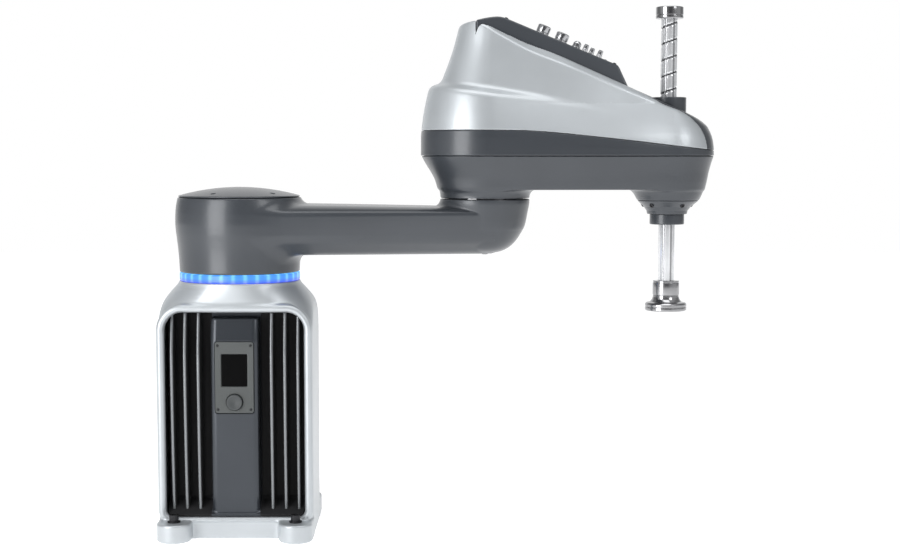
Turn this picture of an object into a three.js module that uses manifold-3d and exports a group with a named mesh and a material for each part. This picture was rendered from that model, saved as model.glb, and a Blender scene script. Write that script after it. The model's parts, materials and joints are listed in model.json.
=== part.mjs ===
// A four-axis SCARA robot arm: a pedestal with a finned amplifier chassis, an inner link, an outer link
// and a vertical quill that slides and turns. Millimetres, +Z up. The origin is on the first joint's axis,
// on the underside of the pedestal, and the stretched arm lies along +X.
import * as THREE from "three";
import { mergeVertices } from "three/addons/utils/BufferGeometryUtils.js";
import Module from "manifold-3d";

const wasm = await Module();
wasm.setup();

// ---- driving dimensions -------------------------------------------------------------------------
const INNER_REACH = 488; // first joint axis to second joint axis
const OUTER_REACH = 362; // second joint axis to quill axis
const GAP = 0.4; // between pieces that touch
const RUN = 0.7; // between pieces that move past each other

// The pedestal's casting, its feet and the opening in its front.
const BASE = { halfX: 151, halfY: 118, corner: 26, floor: 14, plate: 36, neckZ: 498, wall: 8 };
const FOOT = { x: 118, y: 135.5, r: 33, holeR: 6.8 };
const OPENING = { halfX: 135, z0: 42, z1: 443, corner: 36 };
const RIM = { width: 16, back: -108, front: -122 };
const NECK = { boreR: 104.6, boreZ: 455, floorZ: 430, motorHoleR: 52 };
const REAR_WINDOW = { x: [-92, 92], y: [100, 120], z: [60, 152] };

// What fills the opening.
const RECESS = { back: -64, plate: 6, root: -68, finFront: -113, panelFront: -115.6 };
const FINS = { xs: [71, 97, 122.5], width: 7 };
const PANEL = { halfX: 46, z0: 50, z1: 430 };
const TRAY_Z = 56;
const BEZEL = { halfX: 37.5, z0: 247, z1: 386, corner: 5, thick: 2.4, pocket: 14, sunk: 0.8 };
const SCREEN = { halfX: 25, z0: 299, z1: 362 };
const BUTTON = { z: 268.5, r: 15.5, proud: 6, depth: 8 };

// What stands inside the pedestal and on its rear plate.
const AMPLIFIER_BOARD = { x: [-110, -104], y: [-50, 90], z: [60, 400] };
const SUPPLY = { x: [58, 118], y: [-48, 70], z: [60, 300] };
const REAR_PLATE = { x: [-91.5, 91.5], y: [111, 117], z: [60.5, 151.5] };
const IO_SOCKET = { x: [-22, 26], y: [117.4, 128], z: [92, 120] };
const LAN_SOCKET = { x: [44, 76], y: [117.4, 130], z: [94, 118] };
const POWER_INLET = { x: -58, z: 106, flangeR: 19, bodyR: 12, y: [117.4, 131, 137] };

const LIGHT = { r: 119.4, inner: 108, z0: 498.5, z1: 514.4 };
const HOLD_DOWN = {
  tipZ: 3,
  shankR: 6,
  headR: 9.2,
  headH: 12.5,
  socketR: 5,
  socketH: 7,
  washerR: 12.5,
  washerH: 2.5,
};

// First joint, inner link and second joint.
const HOUSING = { z0: 515.2, floor: 530, z1: 662, bore: 104, floorHoleR: 40, seatR: 112, seatZ: 655 };
const CAP = { rim: 121, edge: 4, rise: 18, spigotR: 111.4, spigotZ: 656 };
const J1 = {
  motorR: 43,
  motorZ0: 330,
  motorZ1: 428.8,
  bore: 103.4,
  splineZ0: 456,
  splineZ1: 478,
  bearingZ1: 496,
};
const J2 = { bore: 72.8, ringZ0: 597, ringZ1: 617, bearingZ1: 645, motorR: 42, motorZ1: 868, shaftR: 8 };
const BEAM = {
  x0: 12,
  sideR0: 117,
  sideR1: 86,
  bottom: 550,
  lowEdge: 587,
  highEdge: 636,
  top0: 648,
  top1: 644,
};
const DUCT = { x: [90, INNER_REACH - 60], y: [-52, 52], z: [562, 632] };
const CUP = { rimZ: 659, boreR: 74, boreZ: 596, plugR: 7.2 };

// Outer link: covers, deck and quill.
const ARM = { z0: 661, pocketZ: 690, shaftHoleR: 14, quillHoleR: 46 };
const COVER = { wall: 4, slotHalf: 58, collarHoleR: 35.6, seam: 0.2 };
const DECK = { x0: -18, x1: 271, ridgeX: 30, ridgeZ: 1013, edgeX: 256, edgeZ: 916, wall: 4 };
const QUILL = { r: 16, boreR: 7, z0: 455, z1: 1031, clearR: 17.4 };

// The quill's two belt drives: where each motor stands, and the height of its pulley.
const DRIVE = {
  lift: { at: [150, 38], pulleyZ: 764, z0: 782, z1: 866 },
  turn: { at: [228, -36], pulleyZ: 694, z0: 756, z1: 836 },
  motorR: 29,
  flangeHalf: 30,
  flangeH: 8,
  shaftR: 5,
  shaftEngaged: 15,
  motorPulleyR: 17,
  motorPulleyH: 12,
  nutPulleyR: 38,
  beltH: 10,
  beltT: 2,
};

// ---- solids -------------------------------------------------------------------------------------
const solidOf = (geometry) => {
  const bare = geometry.clone();
  for (const name of ["normal", "uv"]) bare.deleteAttribute(name);
  const merged = mergeVertices(bare, 1e-3);
  const mesh = new wasm.Mesh({
    numProp: 3,
    vertProperties: merged.attributes.position.array,
    triVerts: new Uint32Array(merged.index.array),
  });
  return new wasm.Manifold(mesh);
};

const geometryOf = (solid) => {
  const mesh = solid.getMesh();
  const geometry = new THREE.BufferGeometry();
  geometry.setAttribute("position", new THREE.BufferAttribute(mesh.vertProperties, 3));
  geometry.setIndex(new THREE.BufferAttribute(mesh.triVerts, 1));
  geometry.computeVertexNormals();
  return geometry;
};

const cut = (from, ...tools) => tools.reduce((left, tool) => left.subtract(tool), from);
const join = (...solids) => solids.reduce((all, one) => all.add(one));

// A profile of [radius, z] points turned about Z. It runs up the outside and back down the inside.
const turned = (profile, segments = 20) => {
  const points = [...profile, profile[0]].map(([r, z]) => new THREE.Vector2(r, z));
  return solidOf(new THREE.LatheGeometry(points, segments).rotateX(Math.PI / 2));
};

const rod = (r, z0, z1, segments = 20) => turned([[0, z0], [r, z0], [r, z1], [0, z1]], segments);
const ring = (r, inner, z0, z1, segments = 20) =>
  turned([[inner, z0], [r, z0], [r, z1], [inner, z1]], segments);

const block = (x0, x1, y0, y1, z0, z1) => {
  const geometry = new THREE.BoxGeometry(x1 - x0, y1 - y0, z1 - z0);
  return solidOf(geometry.translate((x0 + x1) / 2, (y0 + y1) / 2, (z0 + z1) / 2));
};

const boxOf = ({ x, y, z }) => block(...x, ...y, ...z);

// A flat shape in X and Y, raised from z0 to z1.
const raised = (shape, z0, z1, curveSegments = 6) => {
  const options = { depth: z1 - z0, bevelEnabled: false, curveSegments };
  return solidOf(new THREE.ExtrudeGeometry(shape, options).translate(0, 0, z0));
};

// A flat shape in X and Z, drawn through the object from y0 to y1.
const through = (shape, y0, y1, curveSegments = 6) => {
  const options = { depth: y1 - y0, bevelEnabled: false, curveSegments };
  const geometry = new THREE.ExtrudeGeometry(shape, options).rotateX(Math.PI / 2);
  return solidOf(geometry.translate(0, y1, 0));
};

const polygon = (points) => new THREE.Shape(points.map(([x, y]) => new THREE.Vector2(x, y)));

const roundedRect = (x0, x1, y0, y1, r) => {
  const shape = new THREE.Shape();
  shape.moveTo(x0 + r, y0);
  shape.lineTo(x1 - r, y0);
  shape.absarc(x1 - r, y0 + r, r, -Math.PI / 2, 0);
  shape.lineTo(x1, y1 - r);
  shape.absarc(x1 - r, y1 - r, r, 0, Math.PI / 2);
  shape.lineTo(x0 + r, y1);
  shape.absarc(x0 + r, y1 - r, r, Math.PI / 2, Math.PI);
  shape.lineTo(x0, y0 + r);
  shape.absarc(x0 + r, y0 + r, r, Math.PI, 1.5 * Math.PI);
  return shape;
};

// Rings of points, each an array of [x, y, z], joined into one skin and closed by a fan at each end.
const lofted = (rings) => {
  const count = rings[0].length;
  const positions = rings.flat(2);
  const faces = [];
  rings.slice(1).forEach((_, level) => {
    for (let i = 0; i < count; i++) {
      const a = level * count + i;
      const b = level * count + ((i + 1) % count);
      faces.push(a, b, a + count, b, b + count, a + count);
    }
  });
  const first = positions.length / 3;
  for (const [end, level] of [rings[0], rings.at(-1)].entries()) {
    for (const axis of [0, 1, 2]) positions.push(level.reduce((sum, p) => sum + p[axis], 0) / count);
    const start = end ? (rings.length - 1) * count : 0;
    for (let i = 0; i < count; i++) {
      const [a, b] = [start + i, start + ((i + 1) % count)];
      faces.push(...(end ? [a, b, first + end] : [b, a, first + end]));
    }
  }
  const geometry = new THREE.BufferGeometry();
  geometry.setAttribute("position", new THREE.Float32BufferAttribute(positions, 3));
  geometry.setIndex(faces);
  return solidOf(geometry);
};

const arcPoints = (x, y, r, from, to, steps) =>
  Array.from({ length: steps + 1 }, (_, i) => {
    const angle = from + ((to - from) * i) / steps;
    return [x + r * Math.cos(angle), y + r * Math.sin(angle)];
  });

// A rounded rectangle as a ring of points at one height; corner equal to half the side makes it a circle.
const rectRing = (halfX, halfY, corner, z, steps = 5) => {
  const [cx, cy] = [halfX - corner, halfY - corner];
  const corners = [[cx, cy], [-cx, cy], [-cx, -cy], [cx, -cy]];
  const arc = ([x, y], i) => arcPoints(x, y, corner, (i * Math.PI) / 2, ((i + 1) * Math.PI) / 2, steps);
  return corners.flatMap(arc).map(([x, y]) => [x, y, z]);
};

// The outline round two circles on the X axis, as a ring of points at one height.
const capsule = (x0, r0, x1, r1, steps = 10) => {
  const lean = Math.acos((r0 - r1) / (x1 - x0));
  const front = arcPoints(x1, 0, r1, -lean, lean, steps);
  const rear = arcPoints(x0, 0, r0, lean, 2 * Math.PI - lean, steps);
  return [...front, ...rear];
};
const capsuleRing = (x0, r0, x1, r1, z) => capsule(x0, r0, x1, r1).map(([x, y]) => [x, y, z]);

// ---- scene graph --------------------------------------------------------------------------------
const finish = {
  silver: { color: 0xc3cad1, roughness: 0.38, metalness: 0.35 },
  graphite: { color: 0x4a4d51, roughness: 0.25, metalness: 0.25 },
  amplifier: { color: 0x3b3e41, roughness: 0.28, metalness: 0.3 },
  black: { color: 0x101113, roughness: 0.3, metalness: 0 },
  bezel: { color: 0x4b4e50, roughness: 0.5, metalness: 0 },
  light: { color: 0x2f8dff, roughness: 0.3, metalness: 0 },
  steel: { color: 0xb9bcc0, roughness: 0.22, metalness: 1 },
  darkSteel: { color: 0x55585c, roughness: 0.35, metalness: 0.9 },
  aluminium: { color: 0xa4a7ab, roughness: 0.45, metalness: 0.8 },
  rubber: { color: 0x1b1b1c, roughness: 0.8, metalness: 0 },
  board: { color: 0x1d5a38, roughness: 0.6, metalness: 0 },
};
const material = {};
for (const [name, values] of Object.entries(finish)) {
  material[name] = new THREE.MeshStandardMaterial(values);
}

const piece = (name, finishName, solid) => {
  const mesh = new THREE.Mesh(geometryOf(solid), material[finishName]);
  mesh.name = name;
  return mesh;
};

// ---- pedestal -----------------------------------------------------------------------------------
// [z, half width, half depth, corner radius], from the floor to the round neck.
const PEDESTAL = [
  [0, BASE.halfX, BASE.halfY, BASE.corner],
  [430, BASE.halfX, BASE.halfY, BASE.corner],
  [445, 150, 118, 34],
  [456, 147, 118, 52],
  [466, 140, 118.3, 78],
  [477, 131, 118.8, 100],
  [488, 123, 119.2, 114],
  [498, 119.7, 119.5, 119],
];

const pedestalSkin = (inset, z0, z1) => {
  const between = PEDESTAL.filter(([z]) => z > z0 && z < z1);
  const last = PEDESTAL.find(([z]) => z >= z1);
  const top = z1 === BASE.neckZ ? last : between.at(-1);
  const levels = [[z0, ...PEDESTAL[0].slice(1)], ...between, [z1, ...top.slice(1)]];
  return lofted(levels.map(([z, x, y, r]) => rectRing(x - inset, y - inset, Math.max(r - inset, 4), z)));
};

const openingShape = (grow) =>
  roundedRect(
    -OPENING.halfX - grow,
    OPENING.halfX + grow,
    OPENING.z0 - grow,
    OPENING.z1 + grow,
    OPENING.corner + grow,
  );

// The silver casting: a hollow body on four bolted feet, open at the front inside a rounded rim.
const baseCasting = () => {
  const rim = through(openingShape(RIM.width), RIM.front, RIM.back);
  const feet = [-1, 1].flatMap((sx) =>
    [-1, 1].map((sy) => {
      const lobe = rod(FOOT.r, 0, BASE.plate, 24).translate([sx * FOOT.x, sy * FOOT.y, 0]);
      const ys = [sy * (BASE.halfY - 20), sy * FOOT.y].sort((a, b) => a - b);
      const xs = [sx * (FOOT.x - FOOT.r), sx * (FOOT.x + FOOT.r)].sort((a, b) => a - b);
      return join(lobe, block(...xs, ...ys, 0, BASE.plate));
    }),
  );
  const body = join(pedestalSkin(0, 0, BASE.neckZ), rim, ...feet);
  const cavity = pedestalSkin(BASE.wall, BASE.floor, NECK.floorZ + 10);
  const mouth = through(openingShape(0), RIM.front - 1, RECESS.back);
  const neckBore = rod(NECK.boreR, NECK.boreZ, BASE.neckZ + 1);
  const motorHole = rod(NECK.motorHoleR, NECK.floorZ, NECK.boreZ + 1);
  const holes = feet.map((_, i) => {
    const [sx, sy] = [i < 2 ? -1 : 1, i % 2 ? 1 : -1];
    return rod(FOOT.holeR, -1, BASE.plate + 1, 16).translate([sx * FOOT.x, sy * FOOT.y, 0]);
  });
  return cut(body, cavity, mouth, neckBore, motorHole, boxOf(REAR_WINDOW), ...holes);
};

// The dark casting in the front opening: upright fins each side of a raised panel, over a sloping tray.
const amplifierChassis = () => {
  const outline = roundedRect(
    -OPENING.halfX + GAP,
    OPENING.halfX - GAP,
    OPENING.z0 + GAP,
    OPENING.z1 - GAP,
    OPENING.corner - GAP,
  );
  const plate = through(outline, RECESS.back - RECESS.plate, RECESS.back - GAP);
  const envelope = through(outline, RIM.front, RECESS.back - RECESS.plate + 1);
  const fins = FINS.xs.flatMap((x) =>
    [-x, x].map((at) => {
      const half = FINS.width / 2;
      return block(at - half, at + half, RECESS.finFront, RECESS.root, OPENING.z0 - 2, OPENING.z1 + 2);
    }),
  );
  const panel = block(-PANEL.halfX, PANEL.halfX, RECESS.panelFront, RECESS.root, PANEL.z0, PANEL.z1);
  const trayHalf = OPENING.halfX + 5;
  const tray = block(-trayHalf, trayHalf, RECESS.finFront - 2, RECESS.root, OPENING.z0 - 2, TRAY_Z);
  const bezelPocket = through(
    roundedRect(-BEZEL.halfX - GAP, BEZEL.halfX + GAP, BEZEL.z0 - GAP, BEZEL.z1 + GAP, BEZEL.corner),
    RECESS.panelFront - 1,
    RECESS.panelFront + BEZEL.pocket,
  );
  return cut(join(plate, join(...fins, panel, tray).intersect(envelope)), bezelPocket);
};

const BEZEL_BACK = RECESS.panelFront + BEZEL.sunk;
const bezelPlate = () => {
  const outline = roundedRect(-BEZEL.halfX, BEZEL.halfX, BEZEL.z0, BEZEL.z1, BEZEL.corner);
  const plate = through(outline, BEZEL_BACK - BEZEL.thick, BEZEL_BACK + 6);
  const window = block(
    -SCREEN.halfX,
    SCREEN.halfX,
    BEZEL_BACK - BEZEL.pocket,
    BEZEL_BACK + BEZEL.pocket,
    SCREEN.z0,
    SCREEN.z1,
  );
  const hole = rod(BUTTON.r + RUN, -BEZEL.pocket, BEZEL.pocket, 24);
  const buttonHole = hole.rotate([90, 0, 0]).translate([0, BEZEL_BACK, BUTTON.z]);
  return cut(plate, window, buttonHole);
};

const screenModule = () =>
  block(
    -SCREEN.halfX + GAP,
    SCREEN.halfX - GAP,
    BEZEL_BACK - BEZEL.thick + 0.6,
    BEZEL_BACK + 5,
    SCREEN.z0 + GAP,
    SCREEN.z1 - GAP,
  );

const selectorButton = () => {
  const face = BUTTON.proud + BEZEL.thick;
  const back = -BUTTON.depth;
  const profile = [[0, back], [BUTTON.r, back], [BUTTON.r, face - 2], [BUTTON.r - 2.5, face], [0, face]];
  return turned(profile, 24).rotate([90, 0, 0]).translate([0, BEZEL_BACK, BUTTON.z]);
};

const lightRing = () =>
  turned([
    [LIGHT.inner, LIGHT.z0],
    [LIGHT.r - 1, LIGHT.z0],
    [LIGHT.r, LIGHT.z0 + 2],
    [LIGHT.r, LIGHT.z1 - 2],
    [LIGHT.r - 1, LIGHT.z1],
    [LIGHT.inner, LIGHT.z1],
  ], 36);

// A cap screw with its washer, seated on a foot; the shank stays inside the foot.
const holdDownBolt = () => {
  const seat = BASE.plate + GAP;
  const washerTop = seat + HOLD_DOWN.washerH;
  const top = washerTop + HOLD_DOWN.headH;
  const profile = [
    [0, HOLD_DOWN.tipZ],
    [HOLD_DOWN.shankR, HOLD_DOWN.tipZ],
    [HOLD_DOWN.shankR, seat],
    [HOLD_DOWN.washerR, seat],
    [HOLD_DOWN.washerR, washerTop],
    [HOLD_DOWN.headR, washerTop],
    [HOLD_DOWN.headR, top],
    [HOLD_DOWN.socketR, top],
    [HOLD_DOWN.socketR, top - HOLD_DOWN.socketH],
    [0, top - HOLD_DOWN.socketH],
  ];
  return turned(profile, 16);
};

// The first joint's drive, from the bottom up: motor, strain-wave reducer, crossed-roller bearing.
const j1Motor = () => {
  const flange = block(-50, 50, -50, 50, J1.motorZ1 - 8.8, J1.motorZ1 + 0.6);
  const shaftHole = rod(9, J1.motorZ1 - 28.8, J1.motorZ1 + 11.2, 16);
  return cut(join(rod(J1.motorR, J1.motorZ0, J1.motorZ1, 24), flange), shaftHole);
};
const j1SplineRing = () => ring(J1.bore, 63.2, J1.splineZ0, J1.splineZ1 - GAP);
const j1BearingRing = () => ring(J1.bore, 91.4, J1.splineZ1, J1.bearingZ1);
// An oval cam's bearing on a long shaft, drawn round.
const j1WaveGenerator = () =>
  turned(
    [
      [0, 405],
      [8, 405],
      [8, 458],
      [50, 458],
      [52, 466],
      [50, 474],
      [0, 474],
    ],
    24,
  );

const powerInlet = () => {
  const [seat, flange, end] = POWER_INLET.y;
  const flangeDisc = rod(POWER_INLET.flangeR, seat, flange, 24);
  const body = rod(POWER_INLET.bodyR, flange - 1, end, 24);
  return join(flangeDisc, body).rotate([-90, 0, 0]).translate([POWER_INLET.x, 0, POWER_INLET.z]);
};

const pedestal = () => {
  const group = new THREE.Group();
  group.add(
    piece("base_casting", "silver", baseCasting()),
    piece("amplifier_chassis", "amplifier", amplifierChassis()),
    piece("display_bezel", "bezel", bezelPlate()),
    piece("display_screen", "black", screenModule()),
    piece("selector_button", "graphite", selectorButton()),
    piece("status_light_ring", "light", lightRing()),
    piece("servo_amplifier_board", "board", boxOf(AMPLIFIER_BOARD)),
    piece("power_supply_unit", "aluminium", boxOf(SUPPLY)),
    piece("j1_motor", "black", j1Motor()),
    piece("j1_reducer_ring", "steel", j1SplineRing()),
    piece("j1_bearing_outer_ring", "steel", j1BearingRing()),
    piece("j1_wave_generator", "steel", j1WaveGenerator()),
    piece("rear_connector_plate", "graphite", boxOf(REAR_PLATE)),
    piece("power_inlet", "black", powerInlet()),
    piece("io_connector", "darkSteel", boxOf(IO_SOCKET)),
    piece("network_connector", "steel", boxOf(LAN_SOCKET)),
  );
  for (const [side, sx] of [["left", -1], ["right", 1]]) {
    for (const [end, sy] of [["front", -1], ["rear", 1]]) {
      const bolt = piece(`hold_down_bolt_${end}_${side}`, "darkSteel", holdDownBolt());
      bolt.position.set(sx * FOOT.x, sy * FOOT.y, 0);
      group.add(bolt);
    }
  }
  return group;
};

// ---- inner link ---------------------------------------------------------------------------------
// [radius, z] up the barrel-shaped housing round the first joint.
const BARREL = [
  [118.9, HOUSING.z0],
  [119.9, 537],
  [123.4, 578],
  [126.5, 614],
  [124.6, 646],
  [121.4, HOUSING.z1],
];
// [radius, z] up the cup that carries the second joint.
const CUP_PROFILE = [
  [0, 550],
  [15, 550.5],
  [38, 558],
  [59, 569],
  [75, 593],
  [82, 617],
  [86, 638],
  [88, 655],
  [84.5, CUP.rimZ],
  [0, CUP.rimZ],
];
// [x, z] of the web that runs down from the housing's top to the beam, and of the one up to the cup.
const HOUSING_WEB = [
  [100, 600],
  [160, 600],
  [156, 647],
  [137, 653],
  [121, 661.5],
  [100, 661.5],
];
const CUP_WEB = [
  [370, 600],
  [420, 600],
  [420, 655],
  [399, 654],
  [379, 643],
];
const WEB_HALF = 60;

// The eight-sided section of the beam at x.
const beamRing = (x) => {
  const along = (x - BEAM.x0) / (INNER_REACH - BEAM.x0);
  const side = THREE.MathUtils.lerp(BEAM.sideR0, BEAM.sideR1, along);
  const top = THREE.MathUtils.lerp(BEAM.top0, BEAM.top1, along);
  const half = [
    [side - 34, BEAM.bottom],
    [side, BEAM.lowEdge],
    [side, BEAM.highEdge],
    [side - 26, top],
  ];
  const other = half.map(([y, z]) => [-y, z]).reverse();
  return [...half, ...other].map(([y, z]) => [x, y, z]);
};

const innerLinkCasting = () => {
  const housing = turned([[0, HOUSING.z0], ...BARREL, [0, HOUSING.z1]], 36);
  const cup = turned(CUP_PROFILE, 32).translate([INNER_REACH, 0, 0]);
  const beam = lofted([BEAM.x0, INNER_REACH / 2, INNER_REACH - 8].map(beamRing));
  const webs = [HOUSING_WEB, CUP_WEB].map((points) => through(polygon(points), -WEB_HALF, WEB_HALF));
  const housingBore = rod(HOUSING.bore, HOUSING.floor, HOUSING.z1 + 1);
  const capSeat = rod(HOUSING.seatR, HOUSING.seatZ, HOUSING.z1 + 1, 36);
  const floorHole = rod(HOUSING.floorHoleR, HOUSING.z0 - 1, HOUSING.floor + 1, 24);
  const cupBore = rod(CUP.boreR, CUP.boreZ, CUP.rimZ + 1).translate([INNER_REACH, 0, 0]);
  const plugHole = rod(CUP.plugR + GAP, BEAM.bottom - 5, 562, 12).translate([INNER_REACH, 0, 0]);
  const solid = join(housing, cup, beam, ...webs);
  return cut(solid, housingBore, capSeat, floorHole, cupBore, boxOf(DUCT), plugHole);
};

const domedCap = () => {
  const z = HOUSING.z1 + GAP;
  const steps = 5;
  const dome = Array.from({ length: steps + 1 }, (_, i) => {
    const part = 1 - i / steps;
    return [CAP.rim * part, HOUSING.z1 + CAP.edge + CAP.rise * (1 - part ** 2)];
  });
  const under = [
    [0, CAP.spigotZ],
    [CAP.spigotR, CAP.spigotZ],
    [CAP.spigotR, z],
    [CAP.rim, z],
  ];
  return turned([...under, ...dome], 36);
};

const j1OutputHub = () => {
  const base = HOUSING.z0 - GAP;
  const profile = [
    [53.6, J1.splineZ0 + 1],
    [61.8, J1.splineZ0 + 1],
    [61.8, J1.splineZ1 + 1.6],
    [89.6, J1.splineZ1 + 1.6],
    [89.6, base],
    [42, base],
    [42, J1.splineZ1 + 1.6],
    [53.6, J1.splineZ1 + 1.6],
  ];
  return turned(profile);
};

const j2SplineRing = () => ring(J2.bore, 47.2, J2.ringZ0, J2.ringZ1 - GAP);
const j2BearingRing = () => ring(J2.bore, 61.4, J2.ringZ1, J2.bearingZ1);
const j2OutputHub = () => {
  const top = ARM.z0 - GAP;
  const profile = [
    [39.6, J2.ringZ0 + 1],
    [45.9, J2.ringZ0 + 1],
    [45.9, J2.ringZ1 + 1.6],
    [59.9, J2.ringZ1 + 1.6],
    [59.9, top],
    [24, top],
    [24, J2.ringZ1 + 1.6],
    [39.6, J2.ringZ1 + 1.6],
  ];
  return turned(profile);
};
const j2WaveGenerator = () =>
  turned(
    [
      [0, 600],
      [36, 600],
      [38, 606],
      [36, 612],
      [J2.shaftR, 612],
      [J2.shaftR, 790],
      [0, 790],
    ],
    24,
  );

const greasePlug = () =>
  turned(
    [
      [0, 548.6],
      [CUP.plugR - 1.7, 548.6],
      [CUP.plugR, 551],
      [CUP.plugR, 559],
      [0, 559],
    ],
    12,
  );

const innerLink = () => {
  const group = new THREE.Group();
  group.add(
    piece("inner_link_casting", "graphite", innerLinkCasting()),
    piece("j1_cap", "graphite", domedCap()),
    piece("j1_output_hub", "steel", j1OutputHub()),
  );
  const elbow = new THREE.Group();
  elbow.position.x = INNER_REACH;
  elbow.add(
    piece("j2_reducer_ring", "steel", j2SplineRing()),
    piece("j2_bearing_outer_ring", "steel", j2BearingRing()),
    piece("cup_grease_plug", "black", greasePlug()),
    outerLink(),
  );
  group.add(elbow);
  return group;
};

// ---- outer link: X is measured from the second joint's axis -------------------------------------
// [z, rear radius, front radius] of the lower casting, which flares up to the seam.
const ARM_LEVELS = [
  [679, 92, 75],
  [682, 96, 76],
  [700, 102, 78.3],
  [712, 108, 80.6],
  [724, 115, 83.6],
  [735, 122, 87],
  [743.6, 126.5, 90],
];
// [radius, z] down the tapered boss under the quill.
const BOSS = [
  [0, 656.5],
  [60, 656.5],
  [66.4, 665],
  [70, 672],
  [70, 690],
  [0, 690],
];
// [radius, z] up the round foot over the second joint.
const ELBOW_FOOT = [
  [0, ARM.z0],
  [84.5, ARM.z0],
  [87, 664],
  [89, 672],
  [92, 688],
  [92, 700],
  [0, 700],
];
// [z, rear radius, front radius] of the hollow in the lower casting.
const ARM_POCKET = [
  [ARM.pocketZ, 84, 60],
  [715, 98, 72],
  [745, 117, 81],
];

const outerLinkCasting = () => {
  const levelled = ([z, rear, front]) => capsuleRing(0, rear, OUTER_REACH, front, z);
  const body = lofted(ARM_LEVELS.map(levelled));
  const pocket = lofted(ARM_POCKET.map(levelled));
  const elbowFoot = turned(ELBOW_FOOT, 32);
  const quillBoss = turned(BOSS).translate([OUTER_REACH, 0, 0]);
  const [below, above] = [ARM.z0 - 11, ARM.pocketZ + 10];
  const shaftHole = rod(ARM.shaftHoleR, below, above, 20);
  const quillHole = rod(ARM.quillHoleR, below, above, 24).translate([OUTER_REACH, 0, 0]);
  return cut(join(body, elbowFoot, quillBoss), pocket, shaftHole, quillHole);
};

// [z, rear centre, rear radius, front radius] up the covers.
const COVER_LEVELS = [
  [744.2, 0, 126.6, 90],
  [772, 0, 126, 88],
  [795, 0, 125, 82],
  [818, 0, 123, 75],
  [842, 0, 119, 67],
  [860, 0, 115.5, 64],
  [874, 0, 112, 63],
  [892, 0, 98, 70],
  [906, 0, 88, 74],
  [924, 5, 80, 70],
  [947, 8, 72, 66],
  [971, 10, 68, 64],
  [1012, 13, 60, 60],
];
// [x, z] along the top of the covers, from the rear to the tip of the nose.
const COVER_TOP = [
  [-56, 1000],
  [-40, 1006],
  [-17, 1008],
  [365, 840],
  [397, 832],
  [410, 824],
  [425, 809],
  [438, 791],
  [448, 770],
  [452, 740],
];
// [x, z] along the lower edge of the silver cover.
const BAND_TOP = [
  [-160, 793],
  [64, 793],
  [426, 757],
  [480, 752],
];

// Wide enough to pass right through the covers.
const WIDE = { x: [-160, 480], y: 140, z: [700, 1100] };

const coverSkin = (inset) => {
  const body = lofted(
    COVER_LEVELS.map(([z, centre, rear, front]) =>
      capsuleRing(centre, rear - inset, OUTER_REACH, front - inset, z),
    ),
  );
  const top = COVER_TOP.map(([x, z]) => [x - inset * 0.4, z - inset]);
  const rear = WIDE.x[0];
  const nose = COVER_TOP.at(-1)[0];
  const side = polygon([[rear, WIDE.z[0]], [rear, COVER_TOP[0][1] - inset], ...top, [nose, WIDE.z[0]]]);
  return body.intersect(through(side, -WIDE.y, WIDE.y));
};

// Opens the shell at the seam, where the inner skin and the outer skin would end level.
const coverFloorCut = () => {
  const seamZ = COVER_LEVELS[0][0];
  return lofted([seamZ - 4, seamZ + 2].map((z) => capsuleRing(0, 122, OUTER_REACH, 86, z)));
};

const coverShell = () => cut(coverSkin(0), coverSkin(COVER.wall), coverFloorCut());

// Everything under the silver cover's lower edge, with that edge raised by lift.
const underBand = (lift) => {
  const edge = BAND_TOP.map(([x, z]) => [x, z + lift]);
  const outline = [[WIDE.x[0], WIDE.z[0]], ...edge, [WIDE.x[1], WIDE.z[0]]].reverse();
  return through(polygon(outline), -WIDE.y, WIDE.y);
};

// Everything within half of the middle plane and ahead of x0.
const slot = (half, x0) => block(x0, WIDE.x[1], -half, half, ...WIDE.z);

// [x, z] round the deck's outside and, a wall's thickness in, round its hollow.
const DECK_OUTSIDE = [
  [DECK.x0, 963],
  [DECK.x0, 1009],
  [DECK.ridgeX, DECK.ridgeZ],
  [DECK.edgeX, DECK.edgeZ],
  [DECK.x1, 886],
  [DECK.x1, 868],
];
const DECK_HOLLOW = [
  [DECK.x0 + DECK.wall, 900],
  [DECK.x0 + DECK.wall, 1005],
  [DECK.ridgeX, DECK.ridgeZ - DECK.wall],
  [DECK.edgeX - 3, DECK.edgeZ - 3],
  [DECK.x1 - DECK.wall, 885],
  [DECK.x1 - DECK.wall, 860],
];
const connectorDeck = () => {
  const half = COVER.slotHalf - GAP;
  const outside = through(polygon(DECK_OUTSIDE), -half, half);
  const hollow = through(polygon(DECK_HOLLOW), -half + DECK.wall, half - DECK.wall);
  return cut(outside, hollow);
};

// Things on the deck stand square to its slope. along is the distance down the slope from the ridge.
const deckPlace = (along, across) => {
  const angle = Math.atan2(DECK.ridgeZ - DECK.edgeZ, DECK.edgeX - DECK.ridgeX);
  const group = new THREE.Group();
  group.position.set(
    DECK.ridgeX + along * Math.cos(angle),
    across,
    DECK.ridgeZ - along * Math.sin(angle),
  );
  group.rotation.y = angle;
  return group;
};

// [radius, height] of the deck's fittings.
const SIGNAL_CONNECTOR = [
  [0, GAP],
  [14, GAP],
  [14, 3.5],
  [12.5, 4.5],
  [13.2, 6],
  [13.2, 17],
  [11.6, 18.5],
  [0, 18.5],
];
const NETWORK_SOCKET = [
  [0, GAP],
  [9.5, GAP],
  [9.5, 4],
  [8, 5],
  [8, 14],
  [6.5, 16],
  [0, 16],
];
const AIR_FITTING = [
  [0, GAP],
  [6.2, GAP],
  [6.2, 6],
  [5.2, 7],
  [5.2, 15],
  [3, 15],
  [3, 8],
  [0, 8],
];
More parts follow.
